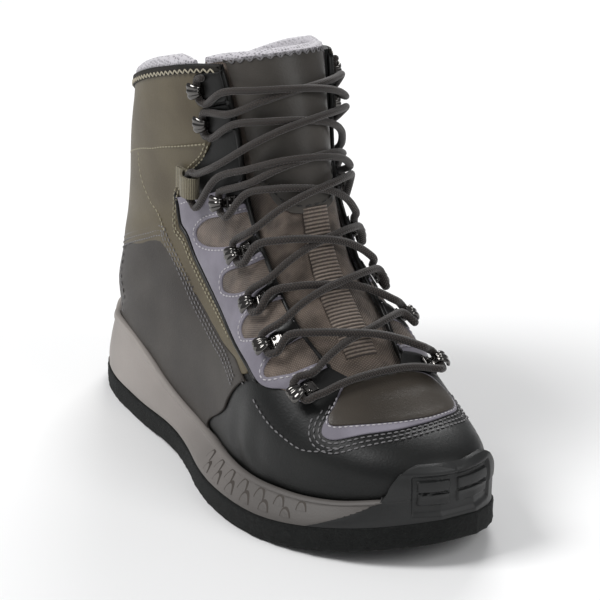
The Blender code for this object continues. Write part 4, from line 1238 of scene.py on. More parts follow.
def build_quarter():
    foot_t = even_along_rim(QUARTER_START, 24)[:-2]
    foot = list(zip(foot_t, rim_turn(foot_t, np.full(len(foot_t), -1)) - 0.006))
    foot_in = list(zip(foot_t, 2 - rim_turn(foot_t, np.full(len(foot_t), 1)) + 0.004))
    back = float(RIM_END)
    line = [QUARTER_TOP[0]] + QUARTER_TOP + [(19.5, 1.0)]
    line += [(t, 2 - w) for t, w in QUARTER_TOP[::-1] + QUARTER_TOP[:1] + QUARTER_FRONT[::-1]]
    line += foot_in[:1] + foot_in + [(back, 1.02), (back, .98)] + foot[::-1] + foot[:1]
    line += QUARTER_FRONT
    outline = rounded(line, spacing=0.0018)
    piece = panel("quarter_brushed_leather", QUARTER_LEATHER, outline, 0.0004, 0.0011,
                  from_back=True, puff=0.0010, puff_reach=0.012, spacing=0.0032)
    finish_piece(piece, None, "leather", "quarter_overlay")
    edge = rounded([(8.2, .410)] + QUARTER_TOP[2:] + [(19.5, 1.0)], closed=False)
    lines = []
    for by in (0.0020, 0.0046, 0.0072):
        row = moved_over(edge, by, closed=False)
        lines += [row, mirrored(row)]
    sew("quarter_top_thread", THREAD_DARK, lines, 0.0020)
    back = rounded([(19.0, .660), (18.2, .652), (16.4, .646), (15.0, .643)], closed=False)
    sew("quarter_back_thread", THREAD_DARK, [back, mirrored(back)], 0.0026, pitch=0.0040,
        length=0.0028)


build_quarter()


# Eyestays: lavender microfibre cut as a rail with a finger under each hook; brown mesh
# shows between the fingers, and pale thread follows each cut-out.
EYESTAY_OUTER = [(5.80, .248), (6.30, .268), (6.75, .322), (7.20, .345), (8.00, .352), (9.20, .372),
                 (11.0, .380), (13.5, .383), (16.5, .392), (18.0, .408), (19.2, .430)]
# Cut-outs from the throat's edge round to the throat's edge again, top to bottom
WINDOWS = [
    [(14.6, .214), (14.6, .214), (15.1, .258), (15.85, .300), (16.6, .338), (16.45, .366),
     (15.5, .372), (14.6, .362), (13.75, .334), (12.95, .280), (12.6, .205), (12.6, .205)],
    [(11.0, .190), (11.0, .190), (11.3, .251), (11.75, .296), (11.95, .332), (11.6, .350),
     (11.2, .348), (10.62, .311), (10.18, .253), (9.95, .172), (9.95, .172)],
    [(8.72, .155), (8.72, .155), (8.95, .203), (9.18, .251), (9.40, .303), (9.30, .332),
     (9.0, .338), (8.65, .324), (8.05, .256), (7.85, .138), (7.85, .138)],
    [(7.22, .128), (7.22, .128), (7.26, .190), (7.30, .266), (7.20, .306), (6.98, .306),
     (6.68, .253), (6.52, .206), (6.40, .108), (6.40, .108)],
]
EYESTAY_TOP = 18.0
EYESTAY_FOOT = 5.80


def throat_edge(t):
    """Turn at which the overlays stop, just short of the throat's edge."""
    return float(throat(t)) + 0.003


def mesh_look():
    """Brown nylon mesh: plain weave of thick yarn, dull, with dark gaps between."""
    look, shader = new_look("brown nylon mesh", 0.75, Sheen_Weight=0.2)
    cut = add(look, "Attribute", attribute_name="cut").outputs["Vector"]
    turned = add(look, "Mapping", {"Vector": cut, "Rotation": (0, 0, math.radians(38))})
    checks = []
    # Yarns 1 mm apart
    for axis in ("X", "Y"):
        yarn = add(look, "TexWave", {"Vector": turned.outputs["Vector"], "Scale": 310.0,
                                     "Distortion": 0.4, "Detail": 1.0}, bands_direction=axis)
        checks.append(yarn.outputs["Fac"])
    weave = add(look, "Math", {0: checks[0], 1: checks[1]}, operation="MULTIPLY")
    cloud = add(look, "TexNoise", {"Vector": cut, "Scale": 60.0, "Detail": 3.0})
    both = add(look, "Math", {0: weave.outputs[0], 1: cloud.outputs["Fac"]},
               operation="MULTIPLY_ADD")
    both.inputs[2].default_value = 0.0
    mixed = add(look, "Math", {0: both.outputs[0], 1: cloud.outputs["Fac"]}, operation="ADD")
    tint = add(look, "ValToRGB", {"Fac": mixed.outputs[0]})
    tint.color_ramp.elements[0].position = 0.35
    tint.color_ramp.elements[0].color = linear("#3b322b")
    tint.color_ramp.elements[1].position = 0.95
    tint.color_ramp.elements[1].color = linear("#85766a")
    look.node_tree.links.new(tint.outputs["Color"], shader.inputs["Base Color"])
    bump = add(look, "Bump", {"Height": weave.outputs[0], "Strength": 0.7, "Distance": 0.0006})
    look.node_tree.links.new(bump.outputs["Normal"], shader.inputs["Normal"])
    return look


MESH = mesh_look()


def build_eyestay(name, side):
    line = [(19.2, .430), (18.95, .388), (18.4, .315), (EYESTAY_TOP, .230), (EYESTAY_TOP, .230)]
    t = EYESTAY_TOP
    for cut in WINDOWS:
        for stop in np.linspace(t, cut[0][0], 4)[1:-1]:
            line.append((stop, throat_edge(stop)))
        line += [(a, max(b, throat_edge(a))) for a, b in cut]
        t = cut[-1][0]
    line += [(k, throat_edge(k)) for k in (6.1, EYESTAY_FOOT, EYESTAY_FOOT)]
    line += EYESTAY_OUTER + [EYESTAY_OUTER[-1]]
    outline = rounded([(a, b * side) for a, b in line], spacing=0.0012)
    piece = panel(name + "_microfibre", LAVENDER, outline, 0.0004, 0.0012, puff=0.0005,
                  puff_reach=0.004, spacing=0.0024)
    finish_piece(piece, None, "lavender", name)
    base = [(17.7, .232), (17.7, .232), (17.7, .385), (17.7, .385)]
    base += [(a, b - .012) for a, b in EYESTAY_OUTER[-3:1:-1]] + [(6.1, .24), (6.1, .115), (6.1, .115)]
    base += [(k, throat_edge(k)) for k in (7, 8, 9, 10.5, 12, 14, 16)]
    under = rounded([(a, b * side) for a, b in base], spacing=0.002)
    piece = panel(name + "_mesh", MESH, under, 0.0001, 0.0006, spacing=0.0030)
    finish_piece(piece, None, "cloth")
    lines = []
    for cut in WINDOWS:
        path = rounded([(a, b * side) for a, b in cut[1:-1]], closed=False)
        lines.append(moved_over(path, -0.0016 * side, closed=False))
    top = [(19.0, .420), (18.8, .378), (18.3, .310), (EYESTAY_TOP, .250)]
    top = rounded([(a, b * side) for a, b in top], closed=False)
    lines.append(moved_over(top, -0.0016 * side, closed=False))
    sew(name + "_thread", THREAD_PALE, lines, 0.0018, pitch=0.0029, length=0.0021,
        slot="lavender")


build_eyestay("eyestay_lateral", 1)
build_eyestay("eyestay_medial", -1)


# Hook tabs: patches of smooth black leather, cut out and cemented down from the throat's
# edge outwards. They stiffen the edge where the hooks are riveted on.
HOOK_ROWS = [5.95, 7.54, 9.29, 12.08, 16.74, 21.46, 22.99]
HOOK_TURNS = [0.232, 0.242, 0.247, 0.254, 0.267, 0.311, 0.317]
# Hooks below the ankle loop, which have smaller tabs than the two above it
LOW_HOOKS = 5
TAB_LEATHER = leather_look("black smooth leather", "#101010", "#191918", 0.0009, 0.40, 0.15)


def build_tabs():
    for side, word in ((1, "lateral"), (-1, "medial")):
        for number, (t, v) in enumerate(zip(HOOK_ROWS, HOOK_TURNS)):
            low_hook = number < LOW_HOOKS
            tall = 0.0050 if low_hook else 0.0080
            reach = v + (0.016 if low_hook else 0.036)
            lift, thick = (0.0012, 0.0010) if low_hook else (0.0008, 0.0016)
            rows = np.linspace(t - 2, t + 2, 81)
            run = run_along(on_upper(rows, np.full(81, v * side)))
            run = run - run[40]
            up = float(np.interp(tall, run, rows))
            down = float(np.interp(-tall, run, rows))
            edge_up = throat_edge(up)
            edge_down = throat_edge(down)
            line = [(up, edge_up), (up, edge_up), (up, v), (up - .15 * (up - t), reach - .012),
                    (t, reach), (down + .15 * (t - down), reach - .012), (down, v),
                    (down, edge_down), (down, edge_down)]
            outline = rounded([(a, b * side) for a, b in line], spacing=0.0009)
            piece = panel("hook_tab_%s_%d" % (word, number + 1), TAB_LEATHER, outline,
                          lift, thick, spacing=0.0018)
            finish_piece(piece, None, "leather")


build_tabs()


# Piping: dark leather rolled over a thin cord and caught in the edge seam, along the
# throat and round the outer edge of each eyestay.
def tube_piece(name, path, radius, look, slot, sides, flat=1.0, *nodes):
    """Round or flattened cord along a line of points, with its run stored along it."""
    p = np.array(path)
    tangent = unit(np.gradient(p, axis=0))
    run = run_along(p)
    aside = np.cross(tangent[0], [0, 0, 1.0])
    corners = []
    marks = []
    for k in range(len(p)):
        aside = aside - tangent[k] * np.dot(aside, tangent[k])
        aside = aside / np.linalg.norm(aside)
        other = np.cross(tangent[k], aside)
        ring = min(1.0, 0.55 + 0.45 * min(k, len(p) - 1 - k))
        for m in range(sides):
            a = 2 * math.pi * m / sides
            corners.append(p[k] + radius * ring * (math.cos(a) * aside + flat * math.sin(a) * other))
            marks.append((m / sides * 2 * math.pi * radius, run[k], 0))
    faces = []
    for k in range(len(p) - 1):
        for m in range(sides):
            n = (m + 1) % sides
            a = k * sides
            faces.append((a + m, a + n, a + sides + n, a + sides + m))
    faces.append(tuple(range(sides))[::-1])
    faces.append(tuple((len(p) - 1) * sides + m for m in range(sides)))
    piece = new_piece(name, corners, faces)
    piece.data.shade_smooth()
    mark(piece, "cut", marks)
    finish_piece(piece, look, slot, *nodes)


def smooth_path(points, spacing):
    """A smooth line through points, read at an even spacing."""
    points = np.array(points, float)
    fine = through(points, np.linspace(0, len(points) - 1, 16 * (len(points) - 1) + 1))
    run = run_along(fine)
    at = np.linspace(0, run[-1], max(8, int(run[-1] / spacing)))
    return np.stack([np.interp(at, run, fine[:, k]) for k in range(3)], -1)


PIPING_RADIUS = 0.0011


def build_piping():
    for side, word in ((1, "lateral"), (-1, "medial")):
        t = np.linspace(5.9, 24.0, 60)
        path = on_upper(t, side * (throat(t) + 0.001), 0.0003)
        edge = [(a, b + .006) for a, b in EYESTAY_OUTER[3:]] + [(19.45, .437)]
        edge = rounded([(a, b * side) for a, b in edge], closed=False)
        path_out = on_upper(edge[:, 0], edge[:, 1], 0.0009)
        for name, line in (("eyestay_piping_", path_out), ("throat_piping_", path)):
            tube_piece(name + word, smooth_path(line, 0.002), PIPING_RADIUS, TAB_LEATHER,
                       "leather", 8)


build_piping()


# Collar: the edge is bound in dark cloth and overcast with zigzag thread; above it the
# spacer knit rolls over the padding and down inside the shaft.
BINDING = leather_look("dark binding cloth", "#1b1a17", "#282521", 0.0007, 0.7)
THREAD_CREAM = thread_look("cream thread", "#a8a08c")


def build_collar():
    share = np.linspace(0.0, 1.0, 40)
    line_t = table(COLLAR, share)
    v0 = throat(line_t)
    w = v0 + (1 - v0) * share
    top = [(a - 0.02, b) for a, b in zip(line_t, w)][::3] + [(float(line_t[-1]) - 0.02, 1.0)]
    low = [(a - 0.50, b) for a, b in zip(line_t, w)][::3] + [(float(line_t[-1]) - 0.50, 1.0)]
    ring = [top[0]] + top + [(a, 2 - b) for a, b in top[-2::-1]] + [(top[0][0], 2 - top[0][1])]
    ring += [(low[0][0], 2 - low[0][1])] + [(a, 2 - b) for a, b in low[:-1]] + low[::-1] + [low[0]]
    outline = rounded(ring, spacing=0.0018)
    piece = panel("collar_binding_cloth", BINDING, outline, 0.0004, 0.0014, from_back=True,
                  puff=0.0004, puff_reach=0.002, spacing=0.0026)
    finish_piece(piece, None, "cloth", "collar_cuff")
    seam = [(a - 0.36, b) for a, b in zip(line_t, w)]
    seam += [(a, 2 - b) for a, b in seam[-2::-1]]
    seam = rounded(seam[1:-1:2], closed=False)
    sew("collar_zigzag_thread", THREAD_CREAM, [seam], 0.0021, pitch=0.0021, length=0.0034,
        wide=0.0009, zigzag=True)


def build_collar_lining():
    # Columns: height over the upper's face (negative is inside), height above its edge
    profile = np.array([
        [-0.0006, -0.0008], [0.0002, 0.0010], [-0.0004, 0.0032], [-0.0024, 0.0048],
        [-0.0050, 0.0048], [-0.0072, 0.0030], [-0.0080, -0.0020], [-0.0078, -0.0090],
        [-0.0070, -0.0180], [-0.0055, -0.0280], [-0.0032, -0.0380], [-0.0021, -0.0400],
        [-0.0021, -0.0200], [-0.0021, -0.0040],
    ])
    columns = 120
    rows = len(profile) * 3
    piece, along, around = start_grid("collar_lining_knit", rows, columns)
    q = through(np.vstack([profile, profile[:1]]), along * len(profile))
    share = np.abs(around * 2 - 1)
    side = np.where(around < 0.5, 1, -1)
    first = 0.14
    b = 1 - share * (1 - first)
    t = table(COLLAR, b)
    v0 = throat(t)
    v = v0 + (1 - v0) * b
    normal, up = frame_at(t, v, -side)[:2]
    thin = np.clip((1 - share) / 0.10, 0.12, 1) ** 0.5
    lift = -0.0021 + (q[:, 0] + 0.0021) * thin
    tall = np.where(q[:, 1] > 0, q[:, 1] * thin, q[:, 1])
    shape(piece, surface(t, v, -side) + normal * lift[:, None] + up * tall[:, None])
    close_up(piece, caps=True, angle=60)
    finish_piece(piece, LINING, "liner")


build_collar()
build_collar_lining()


# Back strip: woven polyester webbing sewn up the back seam, its middle left loose as a
# low pull loop.
def webbing_look(name, dark, light, rib):
    """Ribbed polyester webbing: weft ribs across the strap, dull and slightly fuzzy."""
    look, shader = new_look(name, 0.8, Sheen_Weight=0.2)
    cut = add(look, "Attribute", attribute_name="cut").outputs["Vector"]
    # A wave texture repeats every 0.314 over its scale, in metres
    ribs = add(look, "TexWave", {"Vector": cut, "Scale": 0.314 / rib, "Distortion": 0.6,
                                 "Detail": 2.0, "Detail Scale": 3.0}, bands_direction="Y")
    yarn = add(look, "TexNoise", {"Vector": cut, "Scale": 1500.0, "Detail": 2.0})
    both = add(look, "Math", {0: ribs.outputs["Fac"], 1: yarn.outputs["Fac"]},
               operation="MULTIPLY")
    tint = add(look, "ValToRGB", {"Fac": both.outputs[0]})
    tint.color_ramp.elements[0].position = 0.05
    tint.color_ramp.elements[0].color = linear(dark)
    tint.color_ramp.elements[1].position = 0.45
    tint.color_ramp.elements[1].color = linear(light)
    look.node_tree.links.new(tint.outputs["Color"], shader.inputs["Base Color"])
    bump = add(look, "Bump", {"Height": both.outputs[0], "Strength": 0.6, "Distance": 0.0005})
    look.node_tree.links.new(bump.outputs["Normal"], shader.inputs["Normal"])
    return look


WEBBING_DARK = webbing_look("dark woven webbing", "#161514", "#34322f", 0.0016)


def strap(name, look, face, centre, t0, t1, half, thick, rows, node, rib, pitch, lift,
          bow=0.0):
    """Webbing along the shoe, from one section to another about a turn. Its ribs stand
    out by a height at a pitch, and a bow lifts its middle off what lies below."""
    columns = 10
    piece, along, around = start_grid(name, rows, 2 * columns + 2)
    k = np.rint(around * (2 * columns + 2)).astype(int)
    across = np.where(k <= columns, k, 2 * columns + 1 - k) / columns * 2 - 1
    over = (k <= columns) | (k == 2 * columns + 2)
    across = np.where(k == 2 * columns + 2, -1, across)
    t = t0 + (t1 - t0) * along
    middle = face(np.linspace(t0, t1, 200), np.full(200, max(centre, 1e-4)), 0.0)
    run = run_along(middle)
    at = np.interp(along, np.linspace(0, 1, 200), run)
    wave = rib * (0.5 - 0.5 * np.cos(2 * math.pi * at / pitch))
    edge = 1 - np.abs(across) ** 8 * 0.5
    rise = lift + bow * np.sin(math.pi * along)
    body = thick * edge + wave * np.clip((1 - np.abs(across)) * 6, 0, 1)
    shape(piece, face(t, half * across + centre, rise + np.where(over, body, 0.0)))
    mark(piece, "cut", np.stack([across * 0.005, at, 0 * at], -1))
    close_up(piece, caps=True, angle=50, merge=1e-6)
    finish_piece(piece, look, "webbing", node)


strap("back_strip_webbing", WEBBING_DARK, on_upper, 1.0, 19.75, 22.3, 0.10, 0.0014, 60,
      "back_strip", 0.0003, 0.0016, 0.0024, 0.0026)


# Tongue: padded cloth tucked under the vamp, knit-lined, brown mesh below and a dark
# synthetic leather face above, its rounded lower end sewn down in long stitches.
TONGUE_GAP = 0.0015
TONGUE_BULGE = 0.0033
TONGUE_THICKNESS = 0.005
TONGUE_FOOT = 4.9
TONGUE_TOP = 25.1
# Section above which the lining comes over the top edge to the front
TONGUE_KNIT = 24.42
# Columns: section, half width as a share of the way round
TONGUE_WIDTH = np.array([
    [TONGUE_FOOT, 0.100], [6.00, 0.200], [8.00, 0.280], [11.0, 0.330], [16.0, 0.350],
    [20.0, 0.360], [23.0, 0.350], [25.0, 0.320],
])


def on_tongue(t, w, lift=0.0):
    """Point at a height over the tongue's front face."""
    v, side = split(w)
    reach = np.maximum(throat(t) * 0.85, 0.02)
    free = np.sqrt(np.clip(1 - v / reach, 0, 1)) * np.clip((t - THROAT_ROW - 0.4) / 0.9, 0, 1)
    return skin(t, v, side, -(UPPER_WALL + TONGUE_GAP) + TONGUE_BULGE * free + lift)


def build_tongue():
    rows = 110
    columns = 60
    piece, up, around = start_grid("tongue_padded_cloth", rows, columns)
    k = np.rint(around * columns)
    turn = k / columns * 2 * math.pi
    across = -np.cos(turn)
    across = np.sign(across) * np.abs(across) ** 0.8
    droop = 0.35 * across ** 4 * np.clip((up - 0.9) / 0.1, 0, 1)
    t = TONGUE_FOOT + (TONGUE_TOP - TONGUE_FOOT) * up - droop
    fat = np.clip((1 - up) / 0.012, 0.15, 1) ** 0.5
    body = np.abs(np.sin(turn)) ** 0.35
    middle = -TONGUE_THICKNESS / 2
    lift = middle + np.where(turn <= math.pi, 1, -1) * TONGUE_THICKNESS / 2 * body * fat
    lift = lift + 0.0016 * np.exp(-((t - 24.75) / 0.22) ** 2) * np.sign(np.sin(turn)) * body
    w = across * table(TONGUE_WIDTH, t)
    shape(piece, on_tongue(t, w, lift))
    row = np.clip((t * FLAT_STEPS).astype(int), 0, len(FLAT_T) - 1)
    girth = ROUND[row, len(FLAT_V) // 2]
    mark(piece, "cut", np.stack([w * 2 * girth, np.interp(t, FLAT_T, CLIMB), 0 * t], -1))
    close_up(piece, caps=True, angle=60)
    piece.data.materials.append(MESH)
    piece.data.materials.append(LINING)
    rows_at = piece.data.attributes["cut"].data
    knit_from = float(np.interp(TONGUE_KNIT, FLAT_T, CLIMB))
    for face in piece.data.polygons:
        climb = sum(rows_at[k].vector[1] for k in face.vertices) / len(face.vertices)
        if face.normal.x < -0.05 or climb > knit_from:
            face.material_index = 1
    finish_piece(piece, None, "cloth", "tongue")


build_tongue()
TONGUE_FACE = leather_look("smooth tongue face", "#3a3733", "#4b4743", 0.0010, 0.42, 0.10)
TONGUE_PANEL = [(24.5, .0), (24.5, .15), (24.42, .240), (24.42, .240), (22.0, .225), (19.5, .210),
                (17.2, .190), (15.7, .158), (13.9, .125), (12.85, .075), (12.5, .010), (12.85, -.055),
                (13.9, -.100), (15.8, -.112), (17.5, -.150), (19.5, -.200), (22.0, -.225),
                (24.42, -.240), (24.42, -.240), (24.5, -.15)]


def build_tongue_face():
    outline = rounded(TONGUE_PANEL, face=on_tongue)
    piece = panel("tongue_face_leather", TONGUE_FACE, outline, 0.0001, 0.0009, face=on_tongue,
                  puff=0.0010, puff_reach=0.010, spacing=0.0028)
    finish_piece(piece, None, "cloth")
    low = rounded([(17.4, .176), (15.95, .143), (14.3, .112), (13.35, .066), (13.05, .010),
                   (13.35, -.046), (14.3, -.085), (15.9, -.100), (17.6, -.136)],
                  closed=False, face=on_tongue)
    sew("tongue_face_thread", thread_look("black thread", "#1d1c1b"), [low], 0.0013, pitch=0.0044,
        length=0.0033, wide=0.0009, face=on_tongue)
    rim = rounded([(TONGUE_KNIT, .23), (24.5, .12), (24.5, -.12), (TONGUE_KNIT, -.23)],
                  closed=False, face=on_tongue)
    sew("tongue_top_thread", THREAD_DARK, [rim], 0.0012, pitch=0.0024, length=0.0036,
        wide=0.0011, zigzag=True, face=on_tongue)


build_tongue_face()


# Webbing down the tongue: brown polyester strap with coarse ribs, laid along the middle
# under the crossings of the laces and sewn down at both ends.
WEBBING_BROWN = webbing_look("brown ribbed webbing", "#403731", "#8b7e73", 0.0019)
strap("tongue_webbing_ribbed", WEBBING_BROWN, on_tongue, 0.0, 6.3, 12.9, 0.037, 0.0011, 330,
      "tongue_webbing", 0.0005, 0.0019, 0.0003)


# Hooks: each a bent strip of polished gunmetal steel that ends in a flared lip, held by
# two rivets on a small plate, with a folded clip over the throat's edge.
def steel_look():
    """Gunmetal-plated steel, tumbled bright: dark mirror with faint scratches."""
    look, shader = new_look("gunmetal plated steel", 0.15, 1.0)
    shader.inputs["Base Color"].default_value = linear("#5f5d5b")
    place = add(look, "TexCoord").outputs["Object"]
    wear = add(look, "TexNoise", {"Vector": place, "Scale": 400.0, "Detail": 4.0})
    gloss = add(look, "MapRange", {"Value": wear.outputs["Fac"], "From Min": 0.3, "From Max": 0.7,
                                   "To Min": 0.06, "To Max": 0.20})
    look.node_tree.links.new(gloss.outputs["Result"], shader.inputs["Roughness"])
    return look


STEEL = steel_look()
OVERLAY_TOP = 0.0020
HOOK_SEAT = [OVERLAY_TOP + GAP] * LOW_HOOKS + [GAP, GAP]
RIVET_RADIUS = 0.00125
# Folded clip over the throat's edge: place away from the throat and height, then size
CLIP_PLACE = (-0.0068, 0.0010)
CLIP_SIZE = (0.0013, 0.0072, 0.0014)
# Bent strip from the plate's end to the lip. Columns: away from the throat, height,
# half width, in millimetres
HOOK_STRIP = np.array([
    [-6.6, 0.6, 3.0], [-5.6, 0.6, 3.4], [-3.5, 0.6, 3.4], [-1.9, 0.7, 3.2], [-1.1, 1.5, 2.7],
    [-0.9, 3.0, 2.3], [-0.9, 4.8, 2.4], [-0.2, 6.2, 2.8], [1.7, 6.8, 3.6], [3.6, 6.8, 4.2],
    [5.3, 6.2, 4.3], [6.3, 5.2, 3.8], [6.5, 4.4, 2.6],
]) / 1000


def seat_at(t, v, side, height):
    """Point at a height over one place on the last, and the directions there."""
    t, v, side = np.array([t]), np.array([v]), np.array([side])
    normal, up, away = [q[0] for q in frame_at(t, v, side)]
    return surface(t, v, side)[0] + normal * height, normal, up, away


def hook_frame(number, side):
    """Seat of a hook and the directions there."""
    return seat_at(HOOK_ROWS[number], HOOK_TURNS[number], side, HOOK_SEAT[number])


def build_hook(name, number, side):
    seat, normal, up, away = hook_frame(number, side)
    piece, along, across = start_grid(name + "_steel", 3 * (len(HOOK_STRIP) - 1), 12)
    q = through(HOOK_STRIP, along * (len(HOOK_STRIP) - 1))
    c = across * 2 - 1
    rounding = np.clip((q[:, 1] - 0.003) / 0.003, 0, 1) * (q[:, 0] > -0.0012)
    dish = rounding * (0.0008 * (1 - c * c) + 0.0003 * np.cos(3 * math.pi * c))
    outward = q[:, 0] + 0.5 * dish * (q[:, 0] > 0.004)
    points = (seat + np.outer(outward, away) + np.outer(q[:, 1] + dish - 0.0004 * rounding, normal)
              + np.outer(q[:, 2] * c, up))
    shape(piece, points)
    thick = piece.modifiers.new("sheet", "SOLIDIFY")
    thick.thickness = 0.0010
    thick.offset = 0.0
    soft = piece.modifiers.new("rounded", "SUBSURF")
    soft.levels = 1
    soft.render_levels = 1
    for modifier in (thick.name, soft.name):
        bpy.ops.object.modifier_apply(modifier=modifier)
    parts = [piece]
    base = seat - normal * 0.0004
    for row in (-1, 1):
        bpy.ops.mesh.primitive_uv_sphere_add(segments=14, ring_count=8, radius=RIVET_RADIUS)
        dome = bpy.context.object
        local = np.array([v.co for v in dome.data.vertices])
        local[:, 2] *= 0.75
        shape(dome, base - away * 0.0034 + up * row * 0.0019 + normal * 0.0014
              + local[:, :1] * away + local[:, 1:2] * up + local[:, 2:] * normal)
        parts.append(dome)
    if number < LOW_HOOKS:
        bpy.ops.mesh.primitive_cube_add(size=1.0)
        clip = bpy.context.object
        soft = clip.modifiers.new("rounded", "BEVEL")
        soft.width = 0.28
        soft.segments = 3
        bpy.ops.object.modifier_apply(modifier=soft.name)
        local = np.array([v.co for v in clip.data.vertices]) * CLIP_SIZE
        shape(clip, base + away * CLIP_PLACE[0] + normal * CLIP_PLACE[1]
              + local[:, :1] * away + local[:, 1:2] * up + local[:, 2:] * normal)
        parts.append(clip)
    pick(*parts)
    bpy.ops.object.join()
    close_up(piece, angle=50, merge=1e-7)
    finish_piece(piece, STEEL, "steel", name)


for index in range(len(HOOK_ROWS)):
    build_hook("hook_lateral_%d" % (index + 1), index, -1)
    build_hook("hook_medial_%d" % (index + 1), index, 1)


# Ankle loops: short straps of woven polyester webbing, one on each side, folded round
# the lace and sewn down at the ankle.
LOOP_ROW = 19.20
LOOP_TURN = 0.360
LOOP_TALL = 0.0038
LOOP_WIDTH = 0.011
WEBBING_OLIVE = webbing_look("olive webbing", "#4b4536", "#857e69", 0.0012)


def loop_frame(side):
    """Seat of an ankle loop and the directions there."""
    return seat_at(LOOP_ROW, LOOP_TURN, side, HOOK_SEAT[0])


def build_loop(name, side):
    seat, normal, up, away = loop_frame(side)
    # Fold of the strap: away from the throat, height, in millimetres
    fold = np.array([[15.0, 1.0], [10.0, 1.6], [6.5, 4.8], [3.0, 7.0], [-1.0, 7.1], [-3.9, 5.2],
                     [-4.4, 2.9], [-2.6, 0.9], [2.0, 0.5], [8.0, 0.5], [14.0, 0.4]]) / 1000
    piece, along, across = start_grid(name + "_webbing", 40, 8)
    q = through(fold, along * (len(fold) - 1))
    c = across * 2 - 1
    shape(piece, seat + np.outer(q[:, 0], away) + np.outer(q[:, 1], normal)
          + np.outer(c * LOOP_WIDTH / 2, up))
    mark(piece, "cut", np.stack([c * 0.005, along * 0.04, 0 * c], -1))
    thick = piece.modifiers.new("strap", "SOLIDIFY")
    thick.thickness = 0.0012
    thick.offset = 0.0
    bpy.ops.object.modifier_apply(modifier=thick.name)
    close_up(piece, angle=50, merge=1e-7)
    finish_piece(piece, WEBBING_OLIVE, "webbing", name)


build_loop("ankle_loop_lateral", -1)
build_loop("ankle_loop_medial", 1)


# Laces: round braided polyester cord, 4 mm, run in two strands that cross over the
# tongue and turn behind each hook; both ends stop at the top hooks.
LACE_R = 0.002
CENTRE_LIFT = 0.0038
CROSS_STEP = 0.0017


def lace_look():
    """Round braid: plaited yarns laid at 38 degrees both ways, dull brown."""
    look, shader = new_look("braided polyester cord", 0.75, Sheen_Weight=0.25)
    cut = add(look, "Attribute", attribute_name="cut").outputs["Vector"]
    plaits = []
    # Yarns 1.2 mm wide
    for turn in (38, -38):
        laid = add(look, "Mapping", {"Vector": cut, "Rotation": (0, 0, math.radians(turn))})
        yarn = add(look, "TexWave", {"Vector": laid.outputs["Vector"], "Scale": 260.0,
                                     "Distortion": 0.3}, bands_direction="Y")
        plaits.append(yarn.outputs["Fac"])
    braid = add(look, "Math", {0: plaits[0], 1: plaits[1]}, operation="MULTIPLY")
    tint = add(look, "ValToRGB", {"Fac": braid.outputs[0]})
    tint.color_ramp.elements[0].color = linear("#120e0c")
    tint.color_ramp.elements[1].position = 0.8
    tint.color_ramp.elements[1].color = linear("#3a2d24")
    look.node_tree.links.new(tint.outputs["Color"], shader.inputs["Base Color"])
    bump = add(look, "Bump", {"Height": braid.outputs[0], "Strength": 0.6, "Distance": 0.0005})
    look.node_tree.links.new(bump.outputs["Normal"], shader.inputs["Normal"])
    return look


LACE = lace_look()
HOOK_WIDTH = 0.007
HOOK_SHEET = 0.0012
END_RISE = 0.0036
# How a lace comes up to a hook or a loop and passes it; it goes on the same way.
# Columns: away from the throat, up the shoe from the end of the hook or the loop
HOOK_ROUTE = np.array([[-0.0055, 0.0007], [-0.0026, 0.0003], [-0.0006, -0.0007]])
LOOP_ROUTE = np.array([[-0.0060, 0.0035], [-0.0010, 0.0025], [0.0018, -0.0005]])


def passing(frame_of, route, height):
    """Lace points at a height, up one side of a route and down the other."""
    seat, normal, up, away = frame_of
    rows = [(a, -b) for a, b in route] + [(a, b) for a, b in route[::-1] if b > 0]
    return [seat + away * a + up * b + normal * height for a, b in rows]


def hook_pass(number, side):
    """Lace points behind a hook, from below it to above it."""
    beside = HOOK_WIDTH / 2 + GAP + LACE_R
    route = np.vstack([HOOK_ROUTE + [LACE_R, beside], [LACE_R, 0.0]])
    return passing(hook_frame(number, side), route, HOOK_SHEET + GAP + LACE_R)


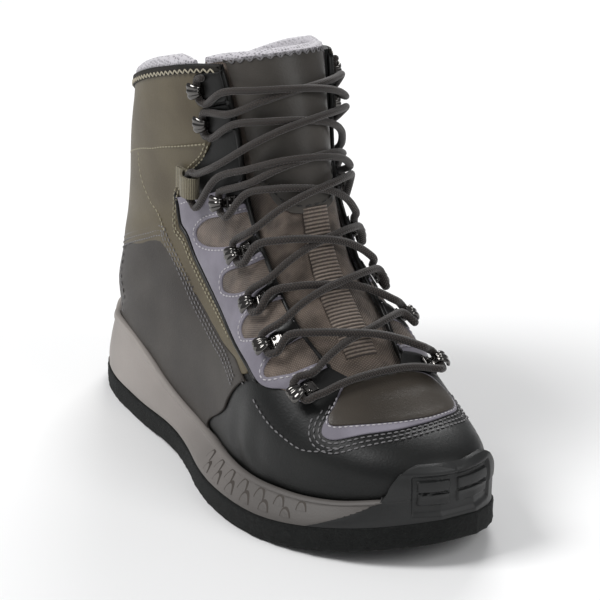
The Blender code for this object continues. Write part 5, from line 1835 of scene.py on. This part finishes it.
def loop_pass(side):
    """Lace points through an ankle loop, from below it to above it."""
    return passing(loop_frame(side), LOOP_ROUTE + [0.0, LOOP_WIDTH / 2], LOOP_TALL)


def run_between(a, b, lift):
    """Lace points over the tongue between two places (section, signed turn)."""
    s = np.linspace(0.14, 0.86, 6)
    t = a[0] + (b[0] - a[0]) * s
    signed = a[1] + (b[1] - a[1]) * s
    rise = lift + END_RISE * np.abs(2 * s - 1) ** 1.5
    return list(skin(t, np.abs(signed), np.where(signed > 0, 1, -1), rise))


def strand(first, lift):
    """One strand, starting on the given side at the lowest hook."""
    stops = [("hook", number) for number in range(len(HOOK_ROWS))]
    stops.insert(LOW_HOOKS, ("loop", 0))
    side = first
    path = []
    previous = None
    for kind, number in stops:
        if kind == "hook":
            here = (HOOK_ROWS[number], HOOK_TURNS[number] * side)
            points = hook_pass(number, side)
        else:
            here = (LOOP_ROW, LOOP_TURN * side)
            points = loop_pass(side)
        if path:
            path += run_between(previous, here, lift)
        path += points
        previous = here
        side = -side
    return path


def build_laces():
    left = strand(-1, CENTRE_LIFT)
    right = strand(1, CENTRE_LIFT + CROSS_STEP)
    s = np.linspace(0.12, 0.88, 7)
    signed = (2 * s - 1) * HOOK_TURNS[0]
    bar = list(skin(np.full(7, HOOK_ROWS[0] - 0.35), np.abs(signed),
                    np.where(signed > 0, 1, -1), CENTRE_LIFT + 0.0010))
    whole = left[::-1] + bar + right
    tube_piece("lace_braided", smooth_path(whole, 0.0013), LACE_R, LACE, "lace", 12, 0.92, "laces")


build_laces()


# Insole: footbed foam with a knit cover, cut to the floor of the midsole and laid in it
# with a narrow gap all round.
def build_insole():
    t = np.linspace(0.6, HEEL_ROW - 1.2, 60)
    outer = surface(t, 1.0, np.full(60, -1))
    inner = surface(t, 1.0, np.full(60, 1))
    ring = np.concatenate([outer[::-1], inner])
    rings = []
    for by, up in ((0.0028, 0.0), (0.0028, 0.0032), (0.0036, 0.0040)):
        rings.append(np.column_stack([inset(ring[:, :2], by), ring[:, 2] + up]))
    piece = ring_piece("insole_knit", rings, 50)
    finish_piece(piece, LINING, "liner", "insole")


build_insole()
